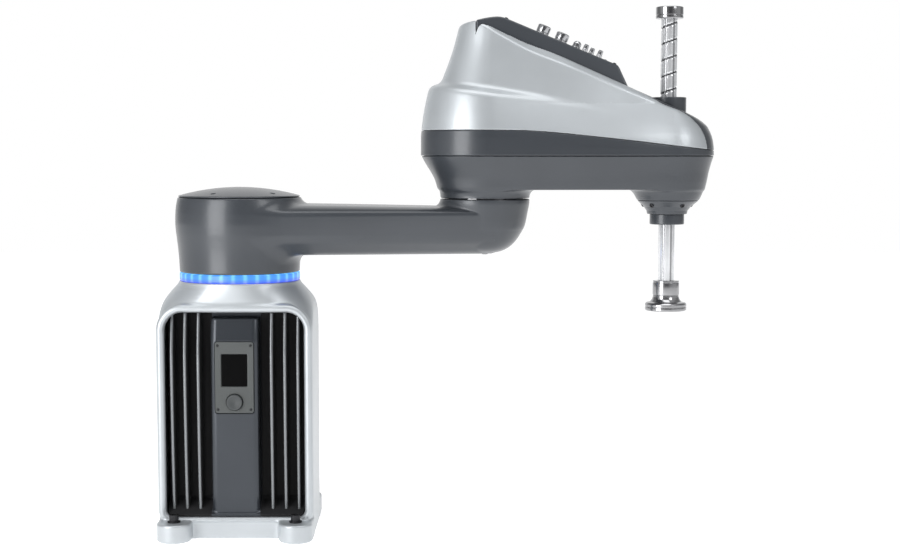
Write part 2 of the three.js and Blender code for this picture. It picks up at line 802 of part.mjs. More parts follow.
// name, profile, distance down the slope from the ridge, distance across it from the middle
const DECK_FITTINGS = [
  ["signal_connector_upper", SIGNAL_CONNECTOR, 86, -14],
  ["signal_connector_lower", SIGNAL_CONNECTOR, 125, -14],
  ["network_socket", NETWORK_SOCKET, 158, -14],
  ["air_fitting_front", AIR_FITTING, 175, -32],
  ["air_fitting_middle", AIR_FITTING, 190, -10],
  ["air_fitting_rear", AIR_FITTING, 205, -32],
];
const deckFitting = ([name, profile, along, across]) => {
  const place = deckPlace(along, across);
  place.add(piece(name, "steel", turned(profile, 16)));
  return place;
};

// ---- the quill and its drives -------------------------------------------------------------------
// A belt: the outline round both pulleys, raised, with the pulleys' own room taken out.
const belt = ({ at: [motorX, motorY], pulleyZ }) => {
  const [dx, dy] = [OUTER_REACH - motorX, -motorY];
  const span = Math.hypot(dx, dy);
  const turn = THREE.MathUtils.radToDeg(Math.atan2(dy, dx));
  const loop = (grow) => {
    const outline = capsule(0, DRIVE.motorPulleyR + grow, span, DRIVE.nutPulleyR + grow);
    return raised(polygon(outline), pulleyZ, pulleyZ + DRIVE.beltH);
  };
  const clearance = 1;
  const made = cut(loop(clearance + DRIVE.beltT), loop(clearance));
  return made.rotate([0, 0, turn]).translate([motorX, motorY, 0]);
};

const servoMotor = ({ z0, z1 }) => {
  const half = DRIVE.flangeHalf;
  const flange = block(-half, half, -half, half, z0, z0 + DRIVE.flangeH);
  const body = rod(DRIVE.motorR, z0 + DRIVE.flangeH, z1, 20);
  const shaftHole = rod(DRIVE.shaftR + 1, z0 - 1, z0 + DRIVE.shaftEngaged + 5, 12);
  return cut(join(body, flange), shaftHole);
};

const motorPulley = ({ pulleyZ, z0 }) => {
  const wheel = rod(DRIVE.motorPulleyR, pulleyZ, pulleyZ + DRIVE.motorPulleyH, 20);
  return join(wheel, rod(DRIVE.shaftR, pulleyZ, z0 + DRIVE.shaftEngaged, 12));
};

// The plate that carries both drive motors and the screw nut's bearing, on posts from the arm's floor,
// with a raised shelf that the lift motor hangs its pulley under.
const PLATE = {
  z0: 748,
  z1: 755,
  floorZ: ARM.pocketZ + GAP,
  outline: [[88, -52], [300, -52], [322, -38], [322, 60], [88, 66]],
  posts: [[100, -45], [100, 58], [308, 48]],
  postR: 6,
  motorHoleR: 10,
  seatR: 46,
  seatBoreR: 31,
  seatZ: 716,
  neck: { x: [300, OUTER_REACH - 34], y: [-20, 20], z: [748, 755] },
};
const SHELF = {
  x: [112, 188],
  y: [-2, 72],
  z: [776.4, 781.6],
  posts: [[116, 2], [116, 68], [184, 2], [184, 68]],
  postR: 4,
};
const driveBracket = () => {
  const plate = raised(polygon(PLATE.outline), PLATE.z0, PLATE.z1);
  const holes = [DRIVE.lift, DRIVE.turn].map(({ at: [x, y] }) =>
    rod(PLATE.motorHoleR, PLATE.z0 - 8, SHELF.z[1] + 8, 16).translate([x, y, 0]),
  );
  const seat = ring(PLATE.seatR, PLATE.seatBoreR, PLATE.seatZ, PLATE.z1).translate([OUTER_REACH, 0, 0]);
  const shelfPosts = SHELF.posts.map(([x, y]) =>
    rod(SHELF.postR, PLATE.z0 + 1, SHELF.z[0] + 1, 8).translate([x, y, 0]),
  );
  const floorPosts = PLATE.posts.map(([x, y]) =>
    rod(PLATE.postR, PLATE.floorZ, PLATE.z0 + 1, 8).translate([x, y, 0]),
  );
  const solid = join(plate, seat, boxOf(PLATE.neck), boxOf(SHELF), ...shelfPosts, ...floorPosts);
  return cut(solid, ...holes);
};

const toolFlange = () => {
  const profile = [
    [9, 436.5],
    [40, 436.5],
    [41.5, 438.5],
    [41.5, 450.5],
    [39, 452.6],
    [31.5, 454.2],
    [26.5, 462],
    [26.5, 496.5],
    [QUILL.r + GAP, 496.5],
    [QUILL.r + GAP, 454.5],
    [9, 454.5],
  ];
  return turned(profile);
};

// [radius, z] of the tapered ring bolted under the arm, bored for the spline nut.
const LOWER_HOUSING = [
  [38, 629],
  [39, 629],
  [41.5, 637],
  [49, 644],
  [59.6, 655.9],
  [44, 655.9],
  [44, 676],
  [38, 676],
];

const quillTower = () => {
  const group = new THREE.Group();
  const { r, boreR, z0, z1, clearR } = QUILL;
  group.position.x = OUTER_REACH;
  group.add(
    piece("quill_lower_housing", "graphite", turned(LOWER_HOUSING)),
    piece("quill_lower_collar", "graphite", ring(34, clearR, 608.5, 628.5)),
    piece("quill_upper_collar", "graphite", ring(35, clearR, 812, 859)),
    piece("spline_nut", "steel", ring(28, r + 0.8, 630, 690)),
    piece("spline_bearing", "steel", ring(37.2, 28.9, 656, 674)),
    piece("spline_pulley", "aluminium", ring(DRIVE.nutPulleyR, clearR, 692, 706)),
    piece("screw_nut", "steel", ring(24, r + 0.8, 716, 760)),
    piece("screw_bearing", "steel", ring(29.9, 24.8, 718, 738)),
    piece("screw_pulley", "aluminium", ring(DRIVE.nutPulleyR, clearR, 762, 776)),
    piece("quill_shaft", "steel", ring(r, boreR, z0, z1, 24)),
    piece("quill_top_stop", "steel", ring(27, r + GAP, 1012, 1035)),
    piece("tool_flange", "steel", toolFlange()),
  );
  return group;
};

const j2Motor = () => {
  const shaftHole = rod(J2.shaftR + 1, ARM.pocketZ - 10, 800, 16);
  return cut(rod(J2.motorR, ARM.pocketZ + GAP, J2.motorZ1), shaftHole);
};

const outerLink = () => {
  const group = new THREE.Group();
  const shell = coverShell();
  const band = shell.intersect(underBand(-COVER.seam));
  const above = shell.subtract(underBand(COVER.seam));
  const silver = above.subtract(slot(COVER.slotHalf, DECK.x0 - GAP));
  const collarHole = rod(COVER.collarHoleR, 790, 900, 32).translate([OUTER_REACH, 0, 0]);
  const spine = above.intersect(slot(COVER.slotHalf - GAP, DECK.x1 + GAP)).subtract(collarHole);
  group.add(
    piece("outer_link_casting", "graphite", outerLinkCasting()),
    piece("cover_band", "graphite", band),
    piece("silver_cover", "silver", silver),
    piece("nose_spine", "graphite", spine),
    piece("connector_deck", "graphite", connectorDeck()),
    piece("j2_output_hub", "steel", j2OutputHub()),
    piece("j2_wave_generator", "steel", j2WaveGenerator()),
    piece("j2_motor", "black", j2Motor()),
    piece("drive_bracket", "aluminium", driveBracket()),
    ...DECK_FITTINGS.map(deckFitting),
    quillTower(),
    piece("lift_belt", "rubber", belt(DRIVE.lift)),
    piece("turn_belt", "rubber", belt(DRIVE.turn)),
  );
  for (const name of ["lift", "turn"]) {
    const place = new THREE.Group();
    place.position.set(...DRIVE[name].at, 0);
    place.add(
      piece(`${name}_motor`, "black", servoMotor(DRIVE[name])),
      piece(`${name}_motor_pulley`, "aluminium", motorPulley(DRIVE[name])),
    );
    group.add(place);
  }
  return group;
};

const robot = new THREE.Group();
robot.add(pedestal(), innerLink());

export default robot;
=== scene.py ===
"""The looks of a SCARA robot arm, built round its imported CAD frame.

Shapes are written in millimetres in the frame's axes. Castings and covers are fields: functions that are
negative inside the piece and positive outside it, which skin() turns into a mesh. Round parts are turned
profiles. Every piece is made at rest and rides on one CAD body.
"""

import itertools
import json
import math

import bpy
import numpy as np
from mathutils import Matrix, Vector


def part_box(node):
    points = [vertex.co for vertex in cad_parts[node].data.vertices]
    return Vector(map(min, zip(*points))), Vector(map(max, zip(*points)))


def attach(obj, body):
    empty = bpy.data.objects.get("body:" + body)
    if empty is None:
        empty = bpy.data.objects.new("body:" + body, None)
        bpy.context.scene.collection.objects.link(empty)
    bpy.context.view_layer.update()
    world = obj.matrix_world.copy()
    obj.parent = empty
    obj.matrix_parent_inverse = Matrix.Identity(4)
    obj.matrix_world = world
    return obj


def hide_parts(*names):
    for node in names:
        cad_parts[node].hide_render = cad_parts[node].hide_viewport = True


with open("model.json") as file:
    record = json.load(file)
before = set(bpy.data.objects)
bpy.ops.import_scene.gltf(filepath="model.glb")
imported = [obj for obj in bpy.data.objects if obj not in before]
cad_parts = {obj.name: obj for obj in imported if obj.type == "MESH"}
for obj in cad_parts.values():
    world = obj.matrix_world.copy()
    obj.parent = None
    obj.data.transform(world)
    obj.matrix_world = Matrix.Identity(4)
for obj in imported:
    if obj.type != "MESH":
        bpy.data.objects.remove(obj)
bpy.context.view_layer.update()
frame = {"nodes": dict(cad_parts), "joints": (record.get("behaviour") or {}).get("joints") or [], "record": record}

MM = 0.001
COARSE = 1.0

JOINTS = {joint["name"]: joint for joint in frame["joints"]}
ELBOW = JOINTS["j2_elbow"]["pos_m"][0] / MM
REACH = JOINTS["j4_turn"]["pos_m"][0] / MM
OUTER = REACH - ELBOW

# ---- fields -------------------------------------------------------------------------------------


def both(a, b, k):
    """Inside both fields, with an edge rounded over about k."""
    return -either(-a, -b, k)


def either(a, b, k):
    """Inside either field, with a fillet of about k."""
    reach = np.maximum(k - np.abs(a - b), 0) / k
    return np.minimum(a, b) - reach * reach * k / 4


def all_of(k, *fields):
    result = fields[0]
    for field in fields[1:]:
        result = both(result, field, k)
    return result


def any_of(k, *fields):
    result = fields[0]
    for field in fields[1:]:
        result = either(result, field, k)
    return result


def between(value, low, high):
    """Negative where low < value < high."""
    return np.abs(value - (low + high) / 2) - (high - low) / 2


def rounded_box(x, y, half_x, half_y, corner):
    """Distance in a plane to a rectangle with round corners."""
    qx = np.abs(x) - half_x + corner
    qy = np.abs(y) - half_y + corner
    outside = np.hypot(np.maximum(qx, 0), np.maximum(qy, 0))
    return outside + np.minimum(np.maximum(qx, qy), 0) - corner


def two_circles(x, y, span, r0, r1):
    """Distance in a plane to the hull of a circle at 0 and another at span along X."""
    side = (r0 - r1) / span
    rise = np.sqrt(1 - side * side)
    y = np.abs(y)
    along = x * rise - y * side
    rear = np.hypot(x, y) - r0
    front = np.hypot(x - span, y) - r1
    flank = x * side + y * rise - r0
    return np.where(along < 0, rear, np.where(along > span * rise, front, flank))


def curve(*points):
    """A smooth function through (input, output) points that never overshoots them, constant beyond them."""
    xs, ys = np.array(points, float).T
    rises = np.diff(ys) / np.diff(xs)
    before, after = rises[:-1], rises[1:]
    level = before * after <= 0
    inner = np.where(level, 0, 2 * before * after / np.where(level, 1, before + after))
    slopes = np.concatenate([rises[:1], inner, rises[-1:]])

    def at(x):
        x = np.clip(x, xs[0], xs[-1])
        i = np.clip(np.searchsorted(xs, x) - 1, 0, len(xs) - 2)
        width = xs[i + 1] - xs[i]
        t = (x - xs[i]) / width
        start = (1 + 2 * t) * (1 - t) ** 2 * ys[i] + t * (1 - t) ** 2 * width * slopes[i]
        end = t * t * (3 - 2 * t) * ys[i + 1] - t * t * (1 - t) * width * slopes[i + 1]
        return start + end

    return at


def hexagon(x, y, flats):
    """Distance in a plane to a hexagon that is flats wide between its flats."""
    turns = [math.radians(a) for a in (0, 60, 120)]
    return np.max([np.abs(x * math.cos(a) + y * math.sin(a)) for a in turns], axis=0) - flats / 2


# ---- meshes -------------------------------------------------------------------------------------


def mesh_object(name, points, faces):
    """A smooth-shaded object from points in mm."""
    mesh = bpy.data.meshes.new(name)
    mesh.from_pydata((np.asarray(points) * MM).tolist(), [], [list(map(int, f)) for f in faces])
    mesh.update()
    mesh.shade_smooth()
    obj = bpy.data.objects.new(name, mesh)
    bpy.context.scene.collection.objects.link(obj)
    return obj


def slope_of(field, points, step=0.02):
    """The field's gradient at points."""
    columns = []
    for axis in range(3):
        offset = np.zeros(3)
        offset[axis] = step
        ahead, behind = points + offset, points - offset
        columns.append((field(*ahead.T) - field(*behind.T)) / (2 * step))
    return np.stack(columns, 1)


def settle(field, points, reach):
    """Moves points onto the surface where the field is zero."""
    for _ in range(4):
        value = field(*points.T)
        slope = slope_of(field, points)
        steepness = np.maximum((slope**2).sum(1), 0.05)
        points = points - np.clip(value / steepness, -reach, reach)[:, None] * slope
    return points


def sample(field, low, step, blocks):
    """Field values on a lattice. Only blocks that the surface may cross are filled exactly."""
    size = 4
    centres = [low[a] + step * (size * np.arange(blocks[a]) + (size - 1) / 2) for a in range(3)]
    coarse = field(*(c.ravel() for c in np.meshgrid(*centres, indexing="ij"))).reshape(blocks)
    near = np.abs(coarse) < 2 * size * step
    values = coarse.repeat(size, 0).repeat(size, 1).repeat(size, 2)
    exact = np.argwhere(near.repeat(size, 0).repeat(size, 1).repeat(size, 2))
    values[tuple(exact.T)] = field(*(low + exact * step).T)
    return values


def surface_net(values):
    """Points, in lattice units, and quads of the surface where values change sign."""
    inside = values < 0
    corners = list(itertools.product((0, 1), repeat=3))
    shape = [n - 1 for n in values.shape]
    count = sum(
        inside[i : i + shape[0], j : j + shape[1], k : k + shape[2]].astype(np.int8) for i, j, k in corners
    )
    cells = np.argwhere((count > 0) & (count < 8))
    index = np.full(shape, -1, np.int64)
    index[tuple(cells.T)] = np.arange(len(cells))
    total = np.zeros((len(cells), 3))
    crossings = np.zeros(len(cells))
    for first, second in itertools.combinations(corners, 2):
        if sum(a != b for a, b in zip(first, second)) != 1:
            continue
        v0 = values[tuple((cells + first).T)]
        v1 = values[tuple((cells + second).T)]
        crossed = (v0 < 0) != (v1 < 0)
        t = np.where(crossed, v0 / np.where(crossed, v0 - v1, 1), 0)[:, None]
        total += np.where(crossed[:, None], np.array(first) + t * (np.array(second) - first), 0)
        crossings += crossed
    points = cells + total / crossings[:, None]
    quads = []
    for axis in range(3):
        side_b, side_c = np.eye(3, dtype=int)[(axis + 1) % 3], np.eye(3, dtype=int)[(axis + 2) % 3]
        stop = [None if a != axis else -1 for a in range(3)]
        start = [None if a != axis else 1 for a in range(3)]
        lower = inside[tuple(slice(None, s) for s in stop)]
        upper = inside[tuple(slice(s, None) for s in start)]
        edges = np.argwhere(lower != upper)
        around = [edges - side_b - side_c, edges - side_c, edges, edges - side_b]
        quad = np.stack([index[tuple(a.T)] for a in around], 1)
        flip = ~inside[tuple(edges.T)]
        quad[flip] = quad[flip][:, ::-1]
        quads.append(quad)
    return points, np.concatenate(quads)


def skin(name, field, low, high, step=2.0, keep=0.3):
    """The closed surface of a field inside a box, thinned to a share of its faces, with exact normals."""
    step = step * COARSE
    low = np.array(low, float) - 2.5 * step
    blocks = np.ceil((np.array(high) + 2.5 * step - low) / step / 4).astype(int) + 1
    points, quads = surface_net(sample(field, low, step, blocks))
    floor, ceiling = low + 2.5 * step, np.array(high, float)
    points = np.clip(settle(field, low + points * step, step / 2), floor, ceiling)
    obj = mesh_object(name, points, quads)
    if keep < 1:
        thin = obj.modifiers.new("thin", "DECIMATE")
        thin.ratio = keep
        thinned = bpy.data.meshes.new_from_object(obj.evaluated_get(bpy.context.evaluated_depsgraph_get()))
        obj.modifiers.clear()
        obj.data = thinned
        points = np.array([v.co for v in thinned.vertices]) / MM
        points = np.clip(settle(field, points, step / 4), floor, ceiling)
        thinned.vertices.foreach_set("co", (points * MM).ravel())
        thinned.update()
    normals = slope_of(field, points)
    normals /= np.maximum(np.linalg.norm(normals, axis=1), 1e-9)[:, None]
    obj.data.shade_smooth()
    obj.data.normals_split_custom_set_from_vertices(normals.tolist())
    return obj


def rounded_profile(points, steps=5):
    """An outline of (r, z) or (r, z, radius) points, with an arc at each corner that gives a radius."""
    outline = []
    for i, point in enumerate(points):
        here = np.array(point[:2], float)
        radius = point[2] if len(point) > 2 else 0
        before = np.array(points[i - 1][:2], float) - here
        after = np.array(points[(i + 1) % len(points)][:2], float) - here
        if not radius:
            outline.append(here)
            continue
        before /= np.linalg.norm(before)
        after /= np.linalg.norm(after)
        half = math.acos(np.clip(before @ after, -1, 1)) / 2
        back = radius / math.tan(half)
        centre = here + (before + after) / np.linalg.norm(before + after) * radius / math.sin(half)
        first, last = here + before * back - centre, here + after * back - centre
        a0, a1 = math.atan2(*first[::-1]), math.atan2(*last[::-1])
        turn = (a1 - a0 + math.pi) % (2 * math.pi) - math.pi
        for t in np.linspace(0, 1, steps):
            angle = a0 + turn * t
            outline.append(centre + radius * np.array([math.cos(angle), math.sin(angle)]))
    return outline


def turned(name, points, at=(0, 0), segments=96, wave=None):
    """A profile turned about a vertical axis. It closes on itself, or on the axis where r is 0.

    wave(angle, r, z) may change the radius round the piece, as knurling does."""
    outline = rounded_profile(points)
    angles = np.arange(segments) * 2 * math.pi / segments
    verts, rings = [], []
    for r, z in outline:
        if r < 1e-6:
            rings.append([len(verts)] * segments)
            verts.append((at[0], at[1], z))
            continue
        rings.append(list(range(len(verts), len(verts) + segments)))
        for angle in angles:
            radius = wave(angle, r, z) if wave else r
            verts.append((at[0] + radius * math.cos(angle), at[1] + radius * math.sin(angle), z))
    faces = []
    for low, high in zip(rings, rings[1:] + rings[:1]):
        for i in range(segments):
            j = (i + 1) % segments
            face = list(dict.fromkeys([low[i], low[j], high[j], high[i]]))
            if len(face) > 2:
                faces.append(face)
    obj = mesh_object(name, verts, faces)
    obj.data.set_sharp_from_angle(angle=math.radians(38))
    return obj


def placed(source, name, matrix):
    """A copy of an object with its mesh moved by a 4x4 matrix in mm."""
    obj = source.copy()
    obj.data = source.data.copy()
    obj.name = name
    shift = matrix.copy()
    shift.translation = matrix.translation * MM
    obj.data.transform(shift)
    bpy.context.scene.collection.objects.link(obj)
    return obj


def group(name, objects):
    """One object from several, such as a set of screws."""
    bpy.ops.object.select_all(action="DESELECT")
    for obj in objects:
        obj.select_set(True)
    bpy.context.view_layer.objects.active = objects[0]
    bpy.ops.object.join()
    objects[0].name = name
    return objects[0]


# ---- materials ----------------------------------------------------------------------------------


def new_material(name, **sockets):
    """A Principled material with its constant values on the shader's own sockets."""
    material = bpy.data.materials.new(name)
    material.use_nodes = True
    shader = material.node_tree.nodes["Principled BSDF"]
    for socket, value in sockets.items():
        shader.inputs[socket.replace("_", " ")].default_value = value
    return material


def node(material, kind, **values):
    made = material.node_tree.nodes.new(kind)
    for key, value in values.items():
        if key in made.inputs:
            made.inputs[key].default_value = value
        else:
            setattr(made, key, value)
    return made


def link(material, source, target):
    material.node_tree.links.new(source, target)


def noise(material, scale, detail=3.0, stretch=(1, 1, 1)):
    """Noise in the object's own metres, stretched along its axes."""
    coordinates = node(material, "ShaderNodeTexCoord")
    mapping = node(material, "ShaderNodeMapping", Scale=stretch)
    texture = node(material, "ShaderNodeTexNoise", Scale=scale, Detail=detail)
    link(material, coordinates.outputs["Object"], mapping.inputs["Vector"])
    link(material, mapping.outputs["Vector"], texture.inputs["Vector"])
    return texture.outputs["Fac"]


def ranged(material, source, low, high, start=0.3, stop=0.7):
    """A value that runs from start to stop, spread between low and high."""
    spread = node(material, "ShaderNodeMapRange")
    spread.inputs["From Min"].default_value = start
    spread.inputs["From Max"].default_value = stop
    spread.inputs["To Min"].default_value = low
    spread.inputs["To Max"].default_value = high
    link(material, source, spread.inputs["Value"])
    return spread.outputs["Result"]


def blended(material, share, under, over):
    """A colour from another node, giving way to a constant one by a 0 to 1 share."""
    mixed = node(material, "ShaderNodeMix", data_type="RGBA")
    mixed.inputs[7].default_value = (*over, 1)
    link(material, share, mixed.inputs[0])
    link(material, under, mixed.inputs[6])
    return mixed.outputs[2]


def computed(material, operation, first, second=None):
    """One step of arithmetic on one or two sockets."""
    step = node(material, "ShaderNodeMath", operation=operation)
    link(material, first, step.inputs[0])
    if second is not None:
        link(material, second, step.inputs[1])
    return step


def object_axes(material):
    """The object's own X, Y and Z, in metres."""
    coordinates = node(material, "ShaderNodeTexCoord")
    split = node(material, "ShaderNodeSeparateXYZ")
    link(material, coordinates.outputs["Object"], split.inputs["Vector"])
    return split.outputs


def shader_of(material):
    return material.node_tree.nodes["Principled BSDF"]


def tinted(material, source, dark, light):
    return colour_ramp(material, source, (0.3, dark), (0.7, light))


def colour_ramp(material, source, *stops):
    """Colours by a 0 to 1 value, from (position, colour) pairs."""
    ramp = node(material, "ShaderNodeValToRGB")
    elements = ramp.color_ramp.elements
    while len(elements) > 1:
        elements.remove(elements[-1])
    for i, (position, colour) in enumerate(stops):
        element = elements[0] if i == 0 else elements.new(position)
        element.position = position
        element.color = (*colour, 1)
    link(material, source, ramp.inputs["Fac"])
    return ramp.outputs["Color"]


def finish_with(material, colour, roughness, height, depth):
    shader = shader_of(material)
    link(material, colour, shader.inputs["Base Color"])
    link(material, roughness, shader.inputs["Roughness"])
    bump = node(material, "ShaderNodeBump", Strength=1.0, Distance=depth)
    link(material, height, bump.inputs["Height"])
    link(material, bump.outputs["Normal"], shader.inputs["Normal"])
    return material


def paint(name, colour, roughness, metallic, coat, peel=0.00004, vary=0.05, gloss=0.2):
    """Sprayed paint: a slight orange peel under a clear coat, and faint cloudiness in the colour."""
    material = new_material(name, Metallic=metallic, Coat_Weight=coat, Coat_Roughness=gloss, Coat_IOR=1.5)
    cloud = noise(material, 9.0, 4.0)
    grain = noise(material, 900.0, 2.0)
    dark = [c * (1 - vary) for c in colour]
    light = [min(1, c * (1 + vary)) for c in colour]
    return finish_with(
        material,
        tinted(material, cloud, dark, light),
        ranged(material, grain, roughness * 0.88, roughness * 1.12),
        noise(material, 380.0, 2.0),
        peel,
    )


def metal(name, colour, roughness, stretch=(1, 1, 1), scale=600.0, groove=0.00002):
    """Bare metal with fine tool marks that run across the stretched axes."""
    material = new_material(name, Metallic=1.0)
    marks = noise(material, scale, 4.0, stretch)
    patches = noise(material, 40.0, 3.0)
    return finish_with(
        material,
        tinted(material, patches, [c * 0.86 for c in colour], colour),
        ranged(material, marks, roughness * 0.7, roughness * 1.3),
        marks,
        groove,
    )


def ground_steel():
    """Ground and polished steel, with painted shade darkening its colour where a piece has grooves."""
    material = metal("ground_steel", (0.9, 0.91, 0.93), 0.12, (1, 1, 14), groove=0.000003)
    shader = shader_of(material)
    shader.inputs["Metallic"].default_value = 0.6
    unshaded_colour = shader.inputs["Base Color"].links[0].from_socket
    # Painted shade: the colour goes near-black where the groove attribute is set.
    groove_shade_attribute = node(material, "ShaderNodeAttribute", attribute_name="painted_groove_shade")
    groove_shaded_colour = blended(material, groove_shade_attribute.outputs["Fac"], unshaded_colour, (0.03, 0.03, 0.034))
    link(material, groove_shaded_colour, shader.inputs["Base Color"])
    return material


PANEL_EDGE, PANEL_FADE = 0.0465, 0.048


def chassis_paint():
    """Graphite paint on the middle panel, a lighter grey painted highlight on the fins' ridges, and near-black
    painted shade on the fins and the recess behind them.
    """
    material = paint("chassis_paint", GRAPHITE, 0.24, 0.2, 0.06, gloss=0.14)
    shader = shader_of(material)
    panel = shader.inputs["Base Color"].links[0].from_socket
    width = computed(material, "ABSOLUTE", object_axes(material)["X"])
    beyond = ranged(material, width.outputs[0], 0, 1, PANEL_EDGE, PANEL_FADE)
    ridge = node(material, "ShaderNodeAttribute", attribute_name="ridge").outputs["Fac"]
    # Beyond the panel's edge, except on the fins' ridges, the colour is darkened to near-black as painted shade.
    painted_recess_shade = computed(material, "SUBTRACT", beyond, ridge)
    painted_recess_shade.use_clamp = True
    dark = painted_recess_shade.outputs[0]
    # Painted highlight: the fins' ridges get a lighter grey colour.
    ridge_painted_highlight = blended(material, ridge, panel, (0.2, 0.21, 0.22))
    # Painted shade: near-black colour over the recess and the sides of the fins.
    link(material, blended(material, dark, ridge_painted_highlight, (0.003, 0.003, 0.004)), shader.inputs["Base Color"])
    link(material, ranged(material, dark, 0.24, 0.9, 0, 1), shader.inputs["Roughness"])
    link(material, ranged(material, dark, 0.5, 0.0, 0, 1), shader.inputs["Metallic"])
    return material


def plastic(name, colour, roughness, grain=0.00008, scale=1800.0, specular=0.45):
    """Moulded plastic with a fine spark-eroded grain."""
    material = new_material(name, Specular_IOR_Level=specular)
    texture = noise(material, scale, 2.0)
    cloud = noise(material, 14.0, 3.0)
    return finish_with(
        material,
        tinted(material, cloud, [c * 0.9 for c in colour], [c * 1.1 for c in colour]),
        ranged(material, texture, roughness * 0.85, roughness * 1.15),
        texture,
        grain,
    )


def light_material():
    """A diffusing ring, brighter in front of each of its lamps and deeper blue at its lower edge."""
    material = new_material("light_lens", Roughness=0.3, Emission_Strength=0.92)
    shader = shader_of(material)
    shader.inputs["Base Color"].default_value = (0.02, 0.07, 0.35, 1)
    axes = object_axes(material)
    angle = computed(material, "ARCTAN2", axes["Y"], axes["X"])
    turns = computed(material, "MULTIPLY", angle.outputs[0])
    turns.inputs[1].default_value = LAMPS
    wave = computed(material, "COSINE", turns.outputs[0])
    lamps = colour_ramp(
        material,
        ranged(material, wave.outputs[0], 0, 1, -1, 1),
        (0, (0.05, 0.27, 1.0)),
        (0.6, (0.06, 0.33, 1.0)),
        (1, (0.2, 0.62, 1.0)),
    )
    low, high = (corner.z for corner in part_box("status_light_ring"))
    tint = colour_ramp(
        material,
        ranged(material, axes["Z"], 0, 1, low, high),
        (0, (0.9, 0.28, 0.75)),
        (0.3, (0.95, 0.6, 0.9)),
        (0.5, (1, 1, 1)),
        (0.9, (1, 1, 1)),
        (1, (1.6, 1.4, 1)),
    )
    mixed = node(material, "ShaderNodeMix", data_type="RGBA", blend_type="MULTIPLY")
    mixed.inputs[0].default_value = 1.0
    link(material, lamps, mixed.inputs[6])
    link(material, tint, mixed.inputs[7])
    link(material, mixed.outputs[2], shader.inputs["Emission Color"])
    return material


LAMPS = 32
SILVER = (0.47, 0.498, 0.52)
GRAPHITE = (0.041, 0.0465, 0.055)

MATERIALS = {
    "silver_paint": paint("silver_paint", SILVER, 0.4, 0.55, 0.2),
    "cover_silver": paint("cover_silver", SILVER, 0.4, 0.55, 0.2),
    "graphite_paint": paint("graphite_paint", GRAPHITE, 0.36, 0.2, 0.4),
    "cover_graphite": paint("cover_graphite", GRAPHITE, 0.36, 0.2, 0.4),
    "chassis_paint": chassis_paint(),
    "bezel_plastic": plastic("bezel_plastic", (0.062, 0.068, 0.068), 0.5),
    "screen": plastic("screen", (0.0006, 0.0006, 0.0008), 0.35, 0.00001, 60.0, 0.06),
    "button_plastic": plastic("button_plastic", (0.045, 0.050, 0.052), 0.42),
    "light_lens": light_material(),
    "black_oxide": metal("black_oxide", (0.045, 0.045, 0.048), 0.42),
    "motor_black": paint("motor_black", (0.012, 0.012, 0.013), 0.35, 0.0, 0.2),
    "ground_steel": ground_steel(),
    "turned_steel": metal("turned_steel", (0.4, 0.4, 0.41), 0.15, (1, 1, 18), groove=0.000006),
    "machined_aluminium": metal("machined_aluminium", (0.72, 0.73, 0.75), 0.36, (1, 9, 1)),
    "connector_metal": metal("connector_metal", (0.5, 0.505, 0.52), 0.14, (1, 1, 8), groove=0.000006),
    "belt_rubber": plastic("belt_rubber", (0.012, 0.012, 0.012), 0.8),
    "circuit_board": plastic("circuit_board", (0.012, 0.09, 0.035), 0.45),
}


def dress(obj, slot, body, *replaced):
    """Gives a piece its material, its body, and the CAD nodes that it stands for."""
    obj.data.materials.clear()
    obj.data.materials.append(MATERIALS[slot])
    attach(obj, body)
    if replaced:
        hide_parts(*replaced)
    return obj


# ---- pedestal -----------------------------------------------------------------------------------

BODY_TOP = 498.0
BODY_HALF_X = curve(
    (0, 151), (425, 151), (440, 150.6), (452, 149), (462, 145.5), (473, 138.5), (484, 129.5),
    (492, 122.5), (498, 119.6),
)
BODY_X, BODY_Y, NECK_R = 151.0, 118.0, 119.6
FRONT_CORNER = curve((0, 22), (395, 22), (425, 40), (440, 58), (455, 76), (470, 92), (484, 104), (498, 114))
REAR_CORNER = curve((0, 46), (395, 46), (425, 56), (440, 68), (455, 82), (470, 95), (484, 105), (498, 114))
WALL = 8.0
FOOT_X, FOOT_Y, FOOT_R, FOOT_TOP = 118.0, 135.5, 33.0, 36.0
MOUTH = {"half": 135.0, "low": 42.0, "high": 443.0, "corner": 36.0, "foot_corner": 14.0, "back": -64.0}
MOUTH_MID = (MOUTH["low"] + MOUTH["high"]) / 2
MOUTH_HALF = (MOUTH["high"] - MOUTH["low"]) / 2
RIM_WIDE, RIM_DEEP, RIM_Y = 8.0, 9.5, -112.6


def mouth_outline(x, z, grow=0.0):
    half, tall = MOUTH["half"] + grow, MOUTH_HALF + grow
    corner = np.where(z > MOUTH_MID, MOUTH["corner"], MOUTH["foot_corner"]) + grow
    return rounded_box(x, z - MOUTH_MID, half, tall, corner)


